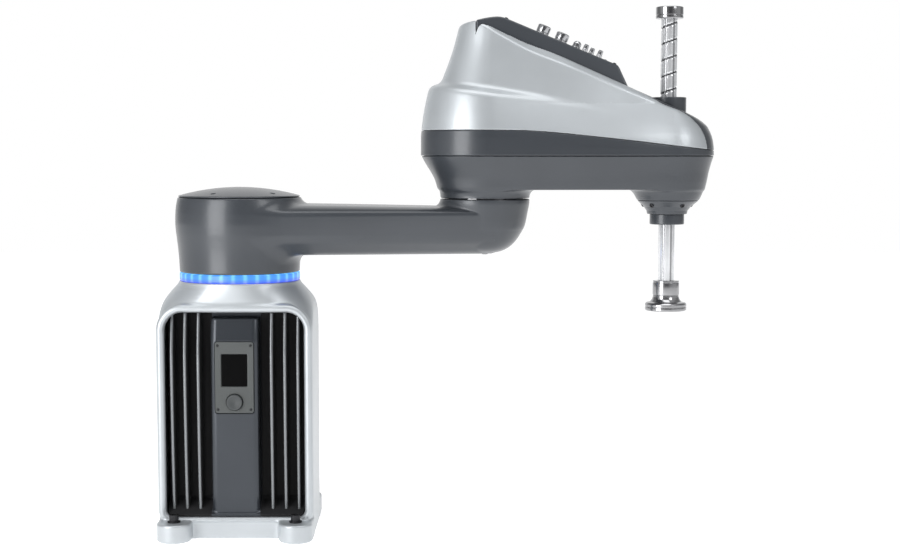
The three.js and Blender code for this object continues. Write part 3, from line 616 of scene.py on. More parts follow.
def pedestal_field(x, y, z):
    neck = (BODY_X - BODY_HALF_X(z)) / (BODY_X - NECK_R)
    square = rounded_box(x, y, BODY_X, BODY_Y, np.where(y < 0, FRONT_CORNER(z), REAR_CORNER(z)))
    side = square * (1 - neck) + (np.hypot(x, y) - NECK_R) * neck
    body = all_of(2.5, side, z - BODY_TOP, -z)
    along = mouth_outline(x, z, RIM_WIDE)
    rim = (np.hypot(along / RIM_WIDE, (y - RIM_Y) / RIM_DEEP) - 1) * RIM_WIDE
    rim = both(rim, FOOT_TOP - 2 - z, 2)
    lobes = np.hypot(np.abs(x) - FOOT_X, np.abs(y) - FOOT_Y) - FOOT_R
    bridge = rounded_box(np.abs(x) - FOOT_X, np.abs(y) - 110, FOOT_R, 25.5, 2)
    plan = any_of(16, either(lobes, bridge, 3), rounded_box(x, y, 147, 113.5, 24))
    feet = all_of(5, plan, z - FOOT_TOP, -z)
    solid = any_of(5, body, rim, feet)
    hollow = all_of(6, side + WALL, between(z, 14, 440))
    mouth = all_of(3, mouth_outline(x, z), y - MOUTH["back"])
    bore = all_of(1, np.hypot(x, y) - 104.6, 455 - z)
    motor = all_of(1, np.hypot(x, y) - 52, between(z, 430, 457))
    window = all_of(2, rounded_box(x, z - 106, 92, 46, 5), 100 - y)
    holes = np.hypot(np.abs(x) - FOOT_X, np.abs(y) - FOOT_Y) - 6.8
    for cut, k in ((hollow, 3), (mouth, 4), (bore, 2), (motor, 2), (window, 2), (holes, 1)):
        solid = both(solid, -cut, k)
    return solid


FIN_X = (71.0, 97.0, 122.5)
FIN_FRONT, FIN_BACK = -113.0, -66.0
FIN_BOW = curve((42, 15), (90, 9), (200, 3), (320, 0.4), (356, 0.6), (400, 7), (443, 16))
PANEL_BOW = curve((42, 9), (62, 3), (84, 0), (384, 0), (400, 2.5), (418, 7), (443, 15))
PANEL_FRONT, PANEL_HALF, PANEL_TOP = -115.6, 46.0, 430.0


def chassis_field(x, y, z):
    width = np.abs(x)
    outline = mouth_outline(x, z, -0.4)
    plate = all_of(1, outline, between(y, -70, MOUTH["back"] - 0.4))
    tray_top = 46 + (y + 115) * 0.56
    tray = all_of(2, outline, z - tray_top, between(y, -114.5, MOUTH["back"] - 0.6))
    front = PANEL_FRONT + PANEL_BOW(z)
    chamfer = (width - PANEL_HALF + 7) * 0.6 + (front - y) * 0.8
    panel = all_of(3, width - PANEL_HALF, front - y, chamfer, z - PANEL_TOP)
    panel = all_of(1, panel, y + 66, outline)
    solid = any_of(6, plate, tray)
    solid = either(solid, panel, 5)
    pocket = all_of(1, rounded_box(x, z - BEZEL_Z, BEZEL_W + 0.6, BEZEL_H + 0.6, 5.5), y + 101.6)
    return both(solid, -pocket, 1.2)


BEZEL_LOW, BEZEL_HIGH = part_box("display_bezel")
BEZEL_W = (BEZEL_HIGH.x - BEZEL_LOW.x) / 2 / MM
BEZEL_H = (BEZEL_HIGH.z - BEZEL_LOW.z) / 2 / MM
BEZEL_Z = (BEZEL_HIGH.z + BEZEL_LOW.z) / 2 / MM
BEZEL_FACE = BEZEL_LOW.y / MM
SCREEN_LOW, SCREEN_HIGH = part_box("display_screen")
SCREEN_Z = (SCREEN_HIGH.z + SCREEN_LOW.z) / 2 / MM
SCREEN_W = (SCREEN_HIGH.x - SCREEN_LOW.x) / 2 / MM
SCREEN_H = (SCREEN_HIGH.z - SCREEN_LOW.z) / 2 / MM
BUTTON_LOW, BUTTON_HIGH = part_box("selector_button")
BUTTON_Z = (BUTTON_HIGH.z + BUTTON_LOW.z) / 2 / MM
BUTTON_R = (BUTTON_HIGH.z - BUTTON_LOW.z) / 2 / MM


def bezel_field(x, y, z):
    outline = rounded_box(x, z - BEZEL_Z, BEZEL_W, BEZEL_H, 5)
    plate = all_of(1.6, outline, between(y, BEZEL_FACE, BEZEL_FACE + 8.4))
    window = rounded_box(x, z - SCREEN_Z, SCREEN_W + 0.5, SCREEN_H + 0.5, 1.5)
    bevel = window - np.clip(BEZEL_FACE + 1.2 - y, 0, 2) * 1.2
    hole = np.hypot(x, z - BUTTON_Z) - BUTTON_R - 0.8
    screws = np.hypot(np.abs(x) - 32, np.abs(z - BEZEL_Z) - 62.5) - 2.6
    wells = all_of(0.5, screws, y - BEZEL_FACE - 1.6)
    solid = both(plate, -np.minimum(bevel, hole), 1)
    return both(solid, -wells, 0.6)


def screen_field(x, y, z):
    face = BEZEL_FACE + 0.9
    return all_of(0.8, rounded_box(x, z - SCREEN_Z, SCREEN_W, SCREEN_H, 1.2), between(y, face, face + 6))


def button_field(x, y, z):
    r = np.hypot(x, z - BUTTON_Z)
    face = BUTTON_LOW.y / MM
    dish = face + 1.6 * np.exp(-((r / (BUTTON_R * 0.55)) ** 2))
    knurl = 0.22 * np.cos(np.arctan2(z - BUTTON_Z, x) * 36)
    return all_of(1.8, r - BUTTON_R - np.minimum(knurl, 0), dish - y, y - face - 16)


def bolt_field(x, y, z):
    """A socket cap screw on its washer, about its own axis, standing on z = 0."""
    r = np.hypot(x, y)
    washer = all_of(0.5, r - 12.5, between(z, 0.4, 2.9))
    knurl = 0.18 * np.cos(np.arctan2(y, x) * 40)
    head = all_of(1.0, r - 9.2 - np.minimum(knurl, 0), between(z, 2.8, 15.4))
    socket = all_of(0.6, hexagon(x, y, 10), 8.6 - z)
    shank = all_of(0.5, r - 6, between(z, -33, 4))
    return both(any_of(0.3, washer, head, shank), -socket, 0.5)


def screw_field(x, y, z):
    """A small button-head screw with a hexagon socket, standing on z = 0."""
    r = np.hypot(x, y)
    head = all_of(0.6, r - 3.4, -z - 0.6, z - 1.9 + r * r * 0.06)
    socket = all_of(0.3, hexagon(x, y, 2.6), 0.3 - z)
    return both(head, -socket, 0.25)


def cooling_fins():
    """Six tall fins with round noses, bowed back towards both ends."""
    levels = np.linspace(MOUTH["low"] + 3, MOUTH["high"] - 3, 70)
    nose = [math.pi * i / 10 for i in range(11)]
    rounded = [(-2.9 * math.cos(a), -2.6 * math.sin(a)) for a in nose]
    section = [(-3.4, FIN_BACK - 4), (-3.0, 4), *rounded, (3.0, 4), (3.4, FIN_BACK - 4)]
    points, faces, shine = [], [], []
    for side in (-1, 1):
        for at in FIN_X:
            first, count = len(points), len(section)
            for z in levels:
                front = FIN_FRONT + 2.6 + float(FIN_BOW(z))
                for i, (dx, dy) in enumerate(section):
                    base = i in (0, count - 1)
                    points.append((side * at + dx, dy if base else front + dy, z))
                    shine.append(0.0 if dy > 1 or base else 1.0)
            for low in range(len(levels) - 1):
                for i in range(count):
                    j = (i + 1) % count
                    a, b = first + low * count, first + (low + 1) * count
                    faces.append([a + i, a + j, b + j, b + i])
            faces.append([first + i for i in reversed(range(count))])
            faces.append([first + (len(levels) - 1) * count + i for i in range(count)])
    fins = mesh_object("cooling_fins", points, faces)
    # The ridge attribute marks the fins' noses, where chassis_paint paints a highlight.
    ridge = fins.data.attributes.new("ridge", "FLOAT", "POINT")
    ridge.data.foreach_set("value", shine)
    fins.data.set_sharp_from_angle(angle=math.radians(40))
    return fins


def build_pedestal():
    casting = skin("pedestal_casting", pedestal_field, (-151, -168.5, 0), (151, 168.5, 498), 2.2, 0.34)
    dress(casting, "silver_paint", "base", "base_casting")
    chassis = skin("amplifier_chassis_cast", chassis_field, (-136, -117, 40), (136, -63, 444), 1.6, 0.4)
    finned = group("amplifier_chassis_finned", [chassis, cooling_fins()])
    dress(finned, "chassis_paint", "base", "amplifier_chassis")
    bezel = skin("display_bezel_moulded", bezel_field, (-38, -119, 246), (38, -108, 387), 0.7, 0.4)
    dress(bezel, "bezel_plastic", "base", "display_bezel")
    screen = skin("display_glass", screen_field, (-26, -119, 298), (26, -108, 363), 0.9, 0.3)
    dress(screen, "screen", "base", "display_screen")
    button = skin("selector_button_moulded", button_field, (-17, -125, 251), (17, -105, 286), 0.5, 0.5)
    dress(button, "button_plastic", "selector", "selector_button")


# ---- inner link ---------------------------------------------------------------------------------

BARREL_LOW, BARREL_TOP = 515.2, 662.0
BARREL_R = curve(
    (515, 118.9), (537, 119.9), (558, 121.3), (578, 123.4), (596, 125.5), (614, 126.6), (630, 126.2),
    (646, 124.6), (662, 121.4),
)
CUP_SIDE = curve(
    (545, 52), (560, 60), (581, 70), (593, 75), (605, 79), (617, 82), (628, 84), (640, 86.3),
    (652, 88.2), (659, 88.4),
)
CUP_BOTTOM = curve((0, 549.8), (15, 551), (30, 554.5), (46, 560.5), (59, 568), (75, 584))
BEAM_TOP = curve((0, 650), (180, 647.5), (ELBOW, 642))
BEAM_LOW = 550.0
CUP_RIM = 659.0
LINK_FILLET = curve((5, 1), (50, 12), (90, 20), (395, 20), (425, 8), (460, 1))


def beam_field(x, y, z):
    """A bar with a bevelled upper edge and a round lower one, narrowing towards the elbow."""
    side = two_circles(x, y, ELBOW, 117.5, CUP_SIDE(z) - 2)
    top = z - BEAM_TOP(x)
    upper = side * 0.42 + (z - 636) * 0.91
    lower = side * 0.71 + (580 - z) * 0.71
    inner = np.maximum(20 - x, x - ELBOW - 16)
    return np.maximum(all_of(9, side, BEAM_LOW - z, lower, top, upper), inner)


def inner_link_field(x, y, z):
    r = np.hypot(x, y)
    barrel = all_of(2.5, r - BARREL_R(z), between(z, BARREL_LOW, BARREL_TOP))
    er = np.hypot(x - ELBOW, y)
    cup = both(both(er - CUP_SIDE(z), CUP_BOTTOM(er) - z, 24), z - CUP_RIM, 2.5)
    solid = any_of(LINK_FILLET(x), barrel, beam_field(x, y, z), cup)
    solid = both(solid, -all_of(1, r - 104, 530 - z), 2)
    solid = both(solid, -all_of(1, r - 112, 655.4 - z), 1)
    solid = both(solid, -all_of(1, r - 40, 531 - z), 1)
    solid = both(solid, -all_of(1, er - 73.4, 603 - z), 1)
    duct = rounded_box(y, z - 600, 44, 30, 12)
    return both(solid, -all_of(4, duct, between(x, 90, ELBOW - 70)), 3)


CAP_R, CAP_LOW, CAP_RISE = 120.8, 662.8, 17.0
CAP_SCREWS = (98.0, 5, math.radians(-114))


def cap_field(x, y, z):
    r = np.hypot(x, y)
    dome = CAP_LOW + 2.6 + CAP_RISE * (1 - (r / CAP_R) ** 2)
    top = (z - dome) * 0.97
    plate = all_of(3.2, r - CAP_R, top, CAP_LOW - z)
    spigot = all_of(1, r - 111.4, between(z, 656, CAP_LOW + 1))
    ring, count, first = CAP_SCREWS
    turn = 2 * math.pi / count
    angle = (np.arctan2(y, x) - first + turn / 2) % turn - turn / 2
    wells = np.hypot(r * np.cos(angle) - ring, r * np.sin(angle)) - 4.6
    return both(either(plate, spigot, 1), -all_of(0.5, wells, dome - 3.4 - z), 0.8)


def screw_ring(name, count, radius, z, first):
    """Identical screws evenly spaced round a vertical axis."""
    screws = []
    for i in range(count):
        angle = first + 2 * math.pi * i / count
        spot = (radius * math.cos(angle), radius * math.sin(angle), z)
        screws.append(placed(SCREW, f"{name}_{i}", Matrix.Translation(spot)))
    return group(name, screws)


def build_inner_link():
    casting = skin("inner_link_cast", inner_link_field, (-128, -128, 515), (577, 128, 662), 2.2, 0.34)
    dress(casting, "graphite_paint", "inner_link", "inner_link_casting")
    cap = skin("j1_cap_dished", cap_field, (-121, -121, 655), (121, 121, 683), 1.6, 0.4)
    dress(cap, "graphite_paint", "inner_link", "j1_cap")
    ring, count, first = CAP_SCREWS
    height = CAP_LOW + 2.6 + CAP_RISE * (1 - (ring / CAP_R) ** 2) - 3.4
    dress(screw_ring("cap_screws", count, ring, height, first), "black_oxide", "inner_link")


# ---- outer link: x is measured from the elbow ---------------------------------------------------

SEAM = 743.8
ARM_REAR = curve(
    (676, 91.5), (682, 95), (692, 98), (700, 101), (712, 107.5), (724, 115), (735, 121.5),
    (744, 126.2),
)
ARM_NOSE = curve(
    (672, 69.4), (677, 71.8), (683, 74.2), (691, 76.6), (700, 78.4), (712, 80.6), (724, 83.6),
    (735, 86.9), (744, 89.9),
)
BOSS_SIDE = curve((656, 60.6), (660, 62.8), (665, 65.2), (672, 68), (679, 69.4), (690, 68))
BOSS_LEAN = 1.5
ARM_FILLET = curve((-100, 5), (-20, 14), (20, 16), (OUTER - 20, 16), (OUTER + 40, 8))


def arm_field(x, y, z):
    x = x - ELBOW
    shell = two_circles(x, y, OUTER, ARM_REAR(z), ARM_NOSE(z))
    body = all_of(2.0, shell, z - SEAM + 0.3, 678 - z)
    r = np.hypot(x, y)
    boss = all_of(1.6, r - 88.4 - np.clip(z - 664, 0, 30) * 0.12, between(z, 661, 700))
    qr = np.hypot(x - OUTER, y)
    boss_r = np.hypot(x - OUTER - BOSS_LEAN, y)
    cone = all_of(1.2, boss_r - BOSS_SIDE(z), between(z, 656.4, 690))
    solid = any_of(ARM_FILLET(x), body, boss, cone)
    pocket = both(two_circles(x, y, OUTER, ARM_REAR(z) - 8.5, ARM_NOSE(z) - 8.5), 690 - z, 6)
    solid = both(solid, -pocket, 2)
    solid = both(solid, -(r - 14), 1)
    solid = both(solid, -all_of(1, qr - 46, z - 701), 1)
    tongue = all_of(0.5, shell + 6.6, -(shell + 8.8), between(z, 736, 749))
    return np.minimum(solid, tongue)


LOWER_REAR = curve(
    (744, 126.4), (772, 126.2), (795, 125.2), (818, 123), (842, 119), (859, 115.4), (873, 111.8), (890, 107)
)
NOSE_R = curve(
    (744, 89.9), (757, 89.7), (771, 88), (783, 85.5), (796, 81), (808, 76), (820, 70), (832, 63.5),
    (845, 56),
)
UPPER_CENTRE = curve((820, 0), (900, 4), (1010, 13))
UPPER_REAR = curve(
    (780, 118), (840, 104), (870, 95.5), (900, 86.5), (925, 78.6), (957, 70.6), (994, 64),
    (1010, 60.5),
)
UPPER_SWELL = curve((0, 0), (80, 3.5), (180, 7.5), (290, 5), (OUTER, 0))
NOSE_SLIM = curve((775, 0), (787, 0.01), (800, 0.03), (810, 0.09), (820, 0.16), (832, 0.28), (845, 0.42))
COVER_FILLET = curve((-130, 18), (60, 16), (200, 6), (340, 0.6))
SLOPE = 0.4277
TOP_LINE = curve(
    (-70, 1022), (-10, 1005.4), (30, 987.4), (110, 951.4), (190, 915.4), (290, 871.4), (362, 840), (450, 802)
)
SLOPE_COS = 1 / math.hypot(1, SLOPE)
SHOULDER, SHOULDER_FALL = 868.0, 0.144
BEVEL = curve((-70, 5), (-20, 7), (30, 13), (85, 17), (160, 13), (300, 8), (420, 4))
COVER_CROWN = curve(
    (-75, 984), (-60, 993), (-46, 1000), (-32, 1003.6), (-17, 1006.2), (-3, 1009.4), (12, 1011.8),
    (32, 1013.2), (60, 1014),
)
DECK_HALF = 57.0
DECK_REAR, DECK_FRONT = -20.0, 274.0
BAND_EDGE = curve(
    (-128, 793), (-13, 793), (64, 792.4), (103, 790.4), (180, 783.6), (296, 771.2), (393, 760),
    (452, 754),
)


def top_slope(x, z):
    """Distance above the sloping top of the covers."""
    return (z - TOP_LINE(x)) * SLOPE_COS


def cover_field(x, y, z):
    """The outside of all the covers above the seam; x is measured from the elbow."""
    top = top_slope(x, z)
    crown = (z - COVER_CROWN(x)) * 0.96
    x = x + np.maximum(x - OUTER, 0) * NOSE_SLIM(z)
    lower = two_circles(x, y, OUTER, LOWER_REAR(z), NOSE_R(z))
    lower = both(lower, z - SHOULDER + SHOULDER_FALL * x, 15)
    centre = UPPER_CENTRE(z)
    upper = two_circles(x - centre, y, OUTER - centre, UPPER_REAR(z), NOSE_R(z)) - UPPER_SWELL(x)
    side = either(lower, upper, COVER_FILLET(x))
    bevel = (upper + top + BEVEL(x)) * 0.7071
    capped = all_of(3, side, bevel, top)
    return both(capped, crown, 5)


def shelled(outside, wall):
    """A wall inside a closed field."""
    return both(outside, -(outside + wall), 0.8)


def covers(region, edge=1.5, wall=6.0):
    """The cover's wall where a region, in the elbow's x, is negative."""

    def field(x, y, z):
        x = x - ELBOW
        return both(shelled(cover_field(x, y, z), wall), region(x, y, z), edge)

    return field


def band_region(x, y, z):
    return np.maximum(z - BAND_EDGE(x) + 0.35, SEAM + 0.5 - z)


def silver_region(x, y, z):
    slot = both(np.abs(y) - DECK_HALF - 0.5, DECK_REAR - 0.5 - x, 0.8)
    return np.maximum(BAND_EDGE(x) + 0.35 - z, -slot)


def spine_region(x, y, z):
    hole = np.hypot(x - OUTER, y) - 36
    strip = both(np.abs(y) - DECK_HALF + 0.3, DECK_FRONT + 0.6 - x, 2)
    return all_of(1.2, strip, BAND_EDGE(x) + 0.35 - z, -hole)


DECK_SLOPE, DECK_TOP = 0.4138, 1025.2


def deck_field(x, y, z):
    """The raised dark lid along the top, with sloping flanks and a blunt front."""
    x = x - ELBOW
    cos = 1 / math.hypot(1, DECK_SLOPE)
    above = top_slope(x, z)
    flank = (np.abs(y) - DECK_HALF + 0.3 + np.maximum(above, 0) * 0.22) * 0.976
    top = (z - DECK_TOP + DECK_SLOPE * x) * cos
    crown = (z - COVER_CROWN(x)) * 0.97
    rear = DECK_REAR - x
    front = (x - 271 + (z - 887) * 0.45) * 0.91
    outside = all_of(3.5, flank, both(top, crown, 5), rear, front)
    solid = both(outside, -above - 12 - np.clip(-x, 0, 20) * 0.4, 1.2)
    inside = all_of(2, outside + 6, -above - 24)
    return both(solid, -inside, 1)


def collar_field(x, y, z):
    """The upper collar round the quill, cut to the slope that it stands on."""
    qr = np.hypot(x - REACH, y)
    outer = all_of(1.6, qr - 34.8, z - 858.6, 812 - z)
    lip = all_of(0.6, np.abs(qr - 21.5) - 2.2, z - 856.8, 850 - z)
    return either(both(outer, -(qr - 18.2), 1), both(lip, 850 - z, 0.5), 0.3)


DEEP = 128.0


def build_outer_link():
    x0, x1 = ELBOW - 127, REACH + 89.9
    arm = skin("outer_link_cast", arm_field, (x0, -DEEP, 656), (x1, DEEP, 750), 2.2, 0.34)
    dress(arm, "graphite_paint", "outer_link", "outer_link_casting")
    band = skin("cover_band_moulded", covers(band_region), (x0, -DEEP, 743), (x1, DEEP, 794), 1.7, 0.34)
    dress(band, "cover_graphite", "outer_link", "cover_band")
    silver = skin("silver_cover_moulded", covers(silver_region), (x0, -DEEP, 752), (x1, DEEP, 1014), 1.9, 0.3)
    dress(silver, "cover_silver", "outer_link", "silver_cover")
    low = (ELBOW + DECK_FRONT, -60, 750)
    spine = skin("nose_spine_moulded", covers(spine_region), low, (x1, 60, 882), 1.6, 0.34)
    dress(spine, "cover_graphite", "outer_link", "nose_spine")
    low, high = (ELBOW + DECK_REAR - 1, -59, 860), (ELBOW + 276, 59, 1015)
    deck = skin("connector_deck_moulded", deck_field, low, high, 1.8, 0.34)
    dress(deck, "cover_graphite", "outer_link", "connector_deck")
    collar = skin("quill_collar", collar_field, (REACH - 36, -36, 811), (REACH + 36, 36, 860), 1.2, 0.4)
    dress(collar, "cover_graphite", "outer_link", "quill_upper_collar")


# ---- connectors on the deck ---------------------------------------------------------------------

DECK_FALL, DECK_RUN = 96.0, 232.0
DECK_RIDGE_X, DECK_RIDGE_Z = 30.0, 1013.0
DECK_PLACES = (
    ("signal_connector_upper", 86.0, -14.0),
    ("signal_connector_lower", 125.0, -14.0),
    ("network_socket", 158.0, -14.0),
    ("air_fitting_front", 175.0, -32.0),
    ("air_fitting_middle", 190.0, -10.0),
    ("air_fitting_rear", 205.0, -32.0),
)


def on_deck(along, across):
    """The place of something that stands square on the deck, that far down from its ridge."""
    angle = math.atan2(DECK_FALL, DECK_RUN)
    x, z = ELBOW + DECK_RIDGE_X + along * math.cos(angle), DECK_RIDGE_Z - along * math.sin(angle)
    spot = Vector((x, across, z))
    return Matrix.Translation(spot) @ Matrix.Rotation(angle, 4, "Y")


def knurled(angle, r, z):
    """Coarse ribs round the coupling ring only."""
    grip = 1 if 6.2 < z < 16.4 and r > 12.4 else 0
    return r - grip * 0.55 * max(0.0, math.cos(angle * 22))


def signal_connector(name):
    """A round connector: square-edged flange, ribbed coupling ring, and a socket with pins."""
    body = turned(
        name,
        [
            (0, 0.2), (14, 0.2, 0.6), (14, 3.4, 0.8), (12.2, 3.4, 0.3), (12.2, 5, 0.3),
            (13.2, 5.6, 0.5), (13.2, 17, 0.7), (11.6, 18.5, 0.5), (10.2, 18.5, 0.4), (10.2, 8, 0.4),
            (4.5, 8, 0.4), (4.5, 16, 0.5), (0, 16),
        ],
        segments=132,
        wave=knurled,
    )
    pins = []
    for i in range(8):
        angle = 2 * math.pi * i / 8
        pin = turned(f"{name}_pin_{i}", [(0, 7.6), (0.7, 7.6), (0.7, 14.2, 0.3), (0, 14.4)], segments=12)
        spot = Matrix.Translation((7.2 * math.cos(angle), 7.2 * math.sin(angle), 0))
        pins.append(placed(pin, f"{name}_pin_at_{i}", spot))
        bpy.data.objects.remove(pin)
    return group(name, [body, *pins])


def network_socket(name):
    """A domed, capped socket."""
    return turned(
        name,
        [
            (0, 0.2), (9.5, 0.2, 0.4), (9.5, 3.8, 0.6), (8.2, 4.2, 0.4), (8.2, 11, 2.4),
            (5.4, 14.6, 2.2), (2.4, 15.8, 0.8), (0, 15.9),
        ],
        segments=72,
    )


def air_fitting(name):
    """A push-in fitting: hexagon foot, sleeve and release ring round the tube hole."""

    def foot(angle, r, z):
        if z > 5.6 or r < 5.6:
            return r
        flat = (angle + math.pi / 6) % (math.pi / 3) - math.pi / 6
        return min(r, 5.55 / math.cos(flat))

    return turned(
        name,
        [
            (0, 0.2), (6.2, 0.2, 0.3), (6.2, 5.4, 0.4), (5.1, 6.2, 0.3), (5.1, 12.4, 0.5),
            (4.3, 12.6, 0.2), (4.3, 14.8, 0.4), (3.0, 14.8, 0.3), (3.0, 5, 0.2), (0, 5),
        ],
        segments=72,
        wave=foot,
    )


def build_connectors():
    makers = {"signal": signal_connector, "network": network_socket, "air": air_fitting}
    for name, along, across in DECK_PLACES:
        made = makers[name.split("_")[0]](f"{name}_body")
        piece = placed(made, f"{name}_fitted", on_deck(along, across))
        bpy.data.objects.remove(made)
        dress(piece, "connector_metal", "outer_link", name)
    plugs = []
    for i, (along, across) in enumerate(((213, -20), (219, -36), (229, -24))):
        plugs.append(placed(SCREW, f"blanking_plug_{i}", on_deck(along, across)))
    dress(group("blanking_plugs", plugs), "connector_metal", "outer_link")
    corners = []
    for along in (10, 238):
        for across in (-44, 44):
            corners.append(placed(SCREW, f"deck_screw_{along}_{across}", on_deck(along, across)))
    dress(group("deck_screws", corners), "black_oxide", "outer_link")


# ---- quill --------------------------------------------------------------------------------------

QUILL_LOW, QUILL_HIGH = (corner.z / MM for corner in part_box("quill_shaft"))
QUILL_R = 16.0
LEAD = 32.0
SCREW_START = 700.0


def quill_shaft():
    """A hollow ground shaft with six straight ball grooves and a screw groove on its upper part."""
    around, bore = 144, 7.0
    heights = [QUILL_LOW, QUILL_LOW + 0.01, QUILL_LOW + 1.2]
    heights += list(np.arange(QUILL_LOW + 3, QUILL_HIGH - 3, 2.0 * COARSE))
    heights += [QUILL_HIGH - 1.2, QUILL_HIGH - 0.01, QUILL_HIGH]
    z, angle = np.meshgrid(np.array(heights), np.arange(around) * 2 * math.pi / around, indexing="ij")
    splines = np.abs((angle * 6 / (2 * math.pi) + 0.54) % 1 - 0.5) * 2 * math.pi / 6 * QUILL_R
    spline_cut = 1.4 * np.clip(1 - (splines / 2.6) ** 4, 0, 1)
    phase = (z / LEAD - angle / (2 * math.pi)) % 1
    screw_run = np.clip((z - SCREW_START) / 6, 0, 1)
    screw_cut = 1.5 * screw_run * np.clip(1 - (np.abs(phase - 0.5) * LEAD / 2.6) ** 2, 0, 1)
    chamfer = np.clip(1.2 - (z - QUILL_LOW), 0, 1.2) + np.clip(1.2 - (QUILL_HIGH - z), 0, 1.2)
    radius = QUILL_R - np.maximum(spline_cut, screw_cut) - chamfer
    rings = [np.stack([REACH + radius * np.cos(angle), radius * np.sin(angle), z], 2)]
    ends = np.stack([np.full(around, QUILL_HIGH), np.full(around, QUILL_LOW)])
    turns = np.stack([angle[0], angle[0]])
    rings.append(np.stack([REACH + bore * np.cos(turns), bore * np.sin(turns), ends], 2))
    points = np.concatenate(rings)
    levels = len(points)
    faces = []
    for low in range(levels):
        high = (low + 1) % levels
        for i in range(around):
            j = (i + 1) % around
            faces.append([low * around + i, low * around + j, high * around + j, high * around + i])
    obj = mesh_object("quill_shaft_ground", points.reshape(-1, 3), faces)
    # Groove depth on the points sets how much painted shade darkens the grooves.
    depth = np.concatenate([np.maximum(spline_cut * 0.45, screw_cut), np.zeros((2, around))])
    groove_shade_attribute = obj.data.attributes.new("painted_groove_shade", "FLOAT", "POINT")
    groove_shade_attribute.data.foreach_set("value", np.clip(depth, 0, 1).ravel().astype(np.float32))
    obj.data.set_sharp_from_angle(angle=math.radians(32))
    return obj


def lean_forward(angle, r, z):
    """Carries the wide top of the nose ring forward, to meet the casting above it."""
    share = min(max((z - 637) / 19, 0), 1) if r > 44.5 else 0
    return r + BOSS_LEAN * share * math.cos(angle)


def build_quill():
    at = (REACH, 0)
    dress(quill_shaft(), "ground_steel", "quill", "quill_shaft")
    flange = turned(
        "tool_flange_machined",
        [
            (9, 436.5, 0.5), (40, 436.5, 0.6), (41.4, 438.2, 0.6), (41.4, 443.2, 0.5),
            (40.3, 443.8, 0.2), (40.3, 444.8, 0.2), (41.4, 445.4, 0.5), (41.4, 449.6, 1.2),
            (39, 452.6, 1.0), (31.5, 454.2, 2.5), (27.4, 459.4, 2.0), (26, 464, 0.6), (26, 466.2, 0.3),
            (25.2, 466.8, 0.2), (25.2, 467.8, 0.2), (26.5, 468.4, 0.4), (26.5, 491.6, 0.5),
            (25.2, 492.4, 0.3), (25.2, 493.4, 0.3), (26.3, 494, 0.4), (26.3, 496, 0.6),
            (16.5, 496.5, 0.5), (16.5, 454.6, 0.3), (9, 454.6, 0.3),
        ],
        at,
    )
    dress(flange, "turned_steel", "quill", "tool_flange")
    stop = turned(
        "quill_stop_collar",
        [
            (16.5, 1012, 0.4), (26.2, 1012, 0.8), (27, 1013.4, 0.6), (27, 1017.6, 0.4),
            (26.2, 1018.2, 0.2), (26.2, 1019, 0.2), (27, 1019.6, 0.4), (27, 1034, 1.2),
            (25.4, 1035, 0.6), (16.5, 1035, 0.5),
        ],
        at,
    )
    dress(stop, "turned_steel", "quill", "quill_top_stop")
    housing = turned(
        "quill_nose_ring",
        [
            (36, 629, 0.4), (39.2, 629, 0.8), (40.6, 635.6, 3), (46.6, 643.6, 5), (57.4, 653, 1.5),
            (60, 655.9, 0.6), (44, 655.9), (44, 676), (36, 676),
        ],
        at,
        128,
        lean_forward,
    )
    dress(housing, "graphite_paint", "outer_link", "quill_lower_housing")
    collar = turned(
        "quill_seal_collar",
        [(17.4, 608.5, 0.5), (33.4, 608.5, 1.0), (34, 609.8, 0.6), (34, 628.4, 0.6), (17.4, 628.4, 0.3)],
        at,
        128,
    )
    dress(collar, "graphite_paint", "spline_drive", "quill_lower_collar")
    screws = []
    for i in range(5):
        turn = Matrix.Rotation(2 * math.pi * (i + 0.5) / 5 - math.radians(26.4), 4, "Z")
        tilt = Matrix.Rotation(math.radians(118), 4, "Y")
        spot = Matrix.Translation((REACH, 0, 0)) @ turn @ Matrix.Translation((50.6, 0, 646.6)) @ tilt
        screws.append(placed(SCREW, f"nose_ring_screw_{i}", spot @ Matrix.Scale(1.35, 4)))
    dress(group("nose_ring_screws", screws), "black_oxide", "outer_link")


# ---- fasteners and the status light -------------------------------------------------------------


def build_light():
    low, high = (corner.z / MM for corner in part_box("status_light_ring"))
    ring = turned(
        "status_light_lens",
        [
            (108, low, 1), (118, low, 1.2), (119.3, low + 2.6, 1.5), (119.3, high - 2.2, 1.5),
            (118.4, high, 1.0), (108, high, 1),
        ],
        segments=240,
    )
    dress(ring, "light_lens", "base", "status_light_ring")


def build_bolts():
    bolt = skin("hold_down_bolt", bolt_field, (-13, -13, -34), (13, 13, 16), 0.55, 0.5)
    for sx, side in ((-1, "left"), (1, "right")):
        for sy, end in ((-1, "front"), (1, "rear")):
            name = f"hold_down_bolt_{end}_{side}"
            piece = placed(bolt, f"{name}_fitted", Matrix.Translation((sx * FOOT_X, sy * FOOT_Y, FOOT_TOP)))
            dress(piece, "black_oxide", "base", name)
    bpy.data.objects.remove(bolt)


def build_bezel_screws():
    screws = []
    upright = Matrix.Rotation(math.pi / 2, 4, "X")
    for sx in (-32, 32):
        for sz in (-62.5, 62.5):
            place = Matrix.Translation((sx, BEZEL_FACE + 1.2, BEZEL_Z + sz)) @ upright @ Matrix.Scale(0.72, 4)
            screws.append(placed(SCREW, f"bezel_screw_{sx}_{sz}", place))
    dress(group("bezel_screws", screws), "black_oxide", "base")


# ---- carried-over frame pieces ------------------------------------------------------------------


def dress_frame():
    """Gives every CAD piece that still shows the detailed material of its slot."""
    slots = {entry["node"]: entry["material_slot"] for entry in frame["record"]["subparts"]}
    for name, obj in frame["nodes"].items():
        if not obj.hide_render:
            for material_slot in obj.material_slots:
                material_slot.material = MATERIALS[slots[name]]


# ---- studio -------------------------------------------------------------------------------------


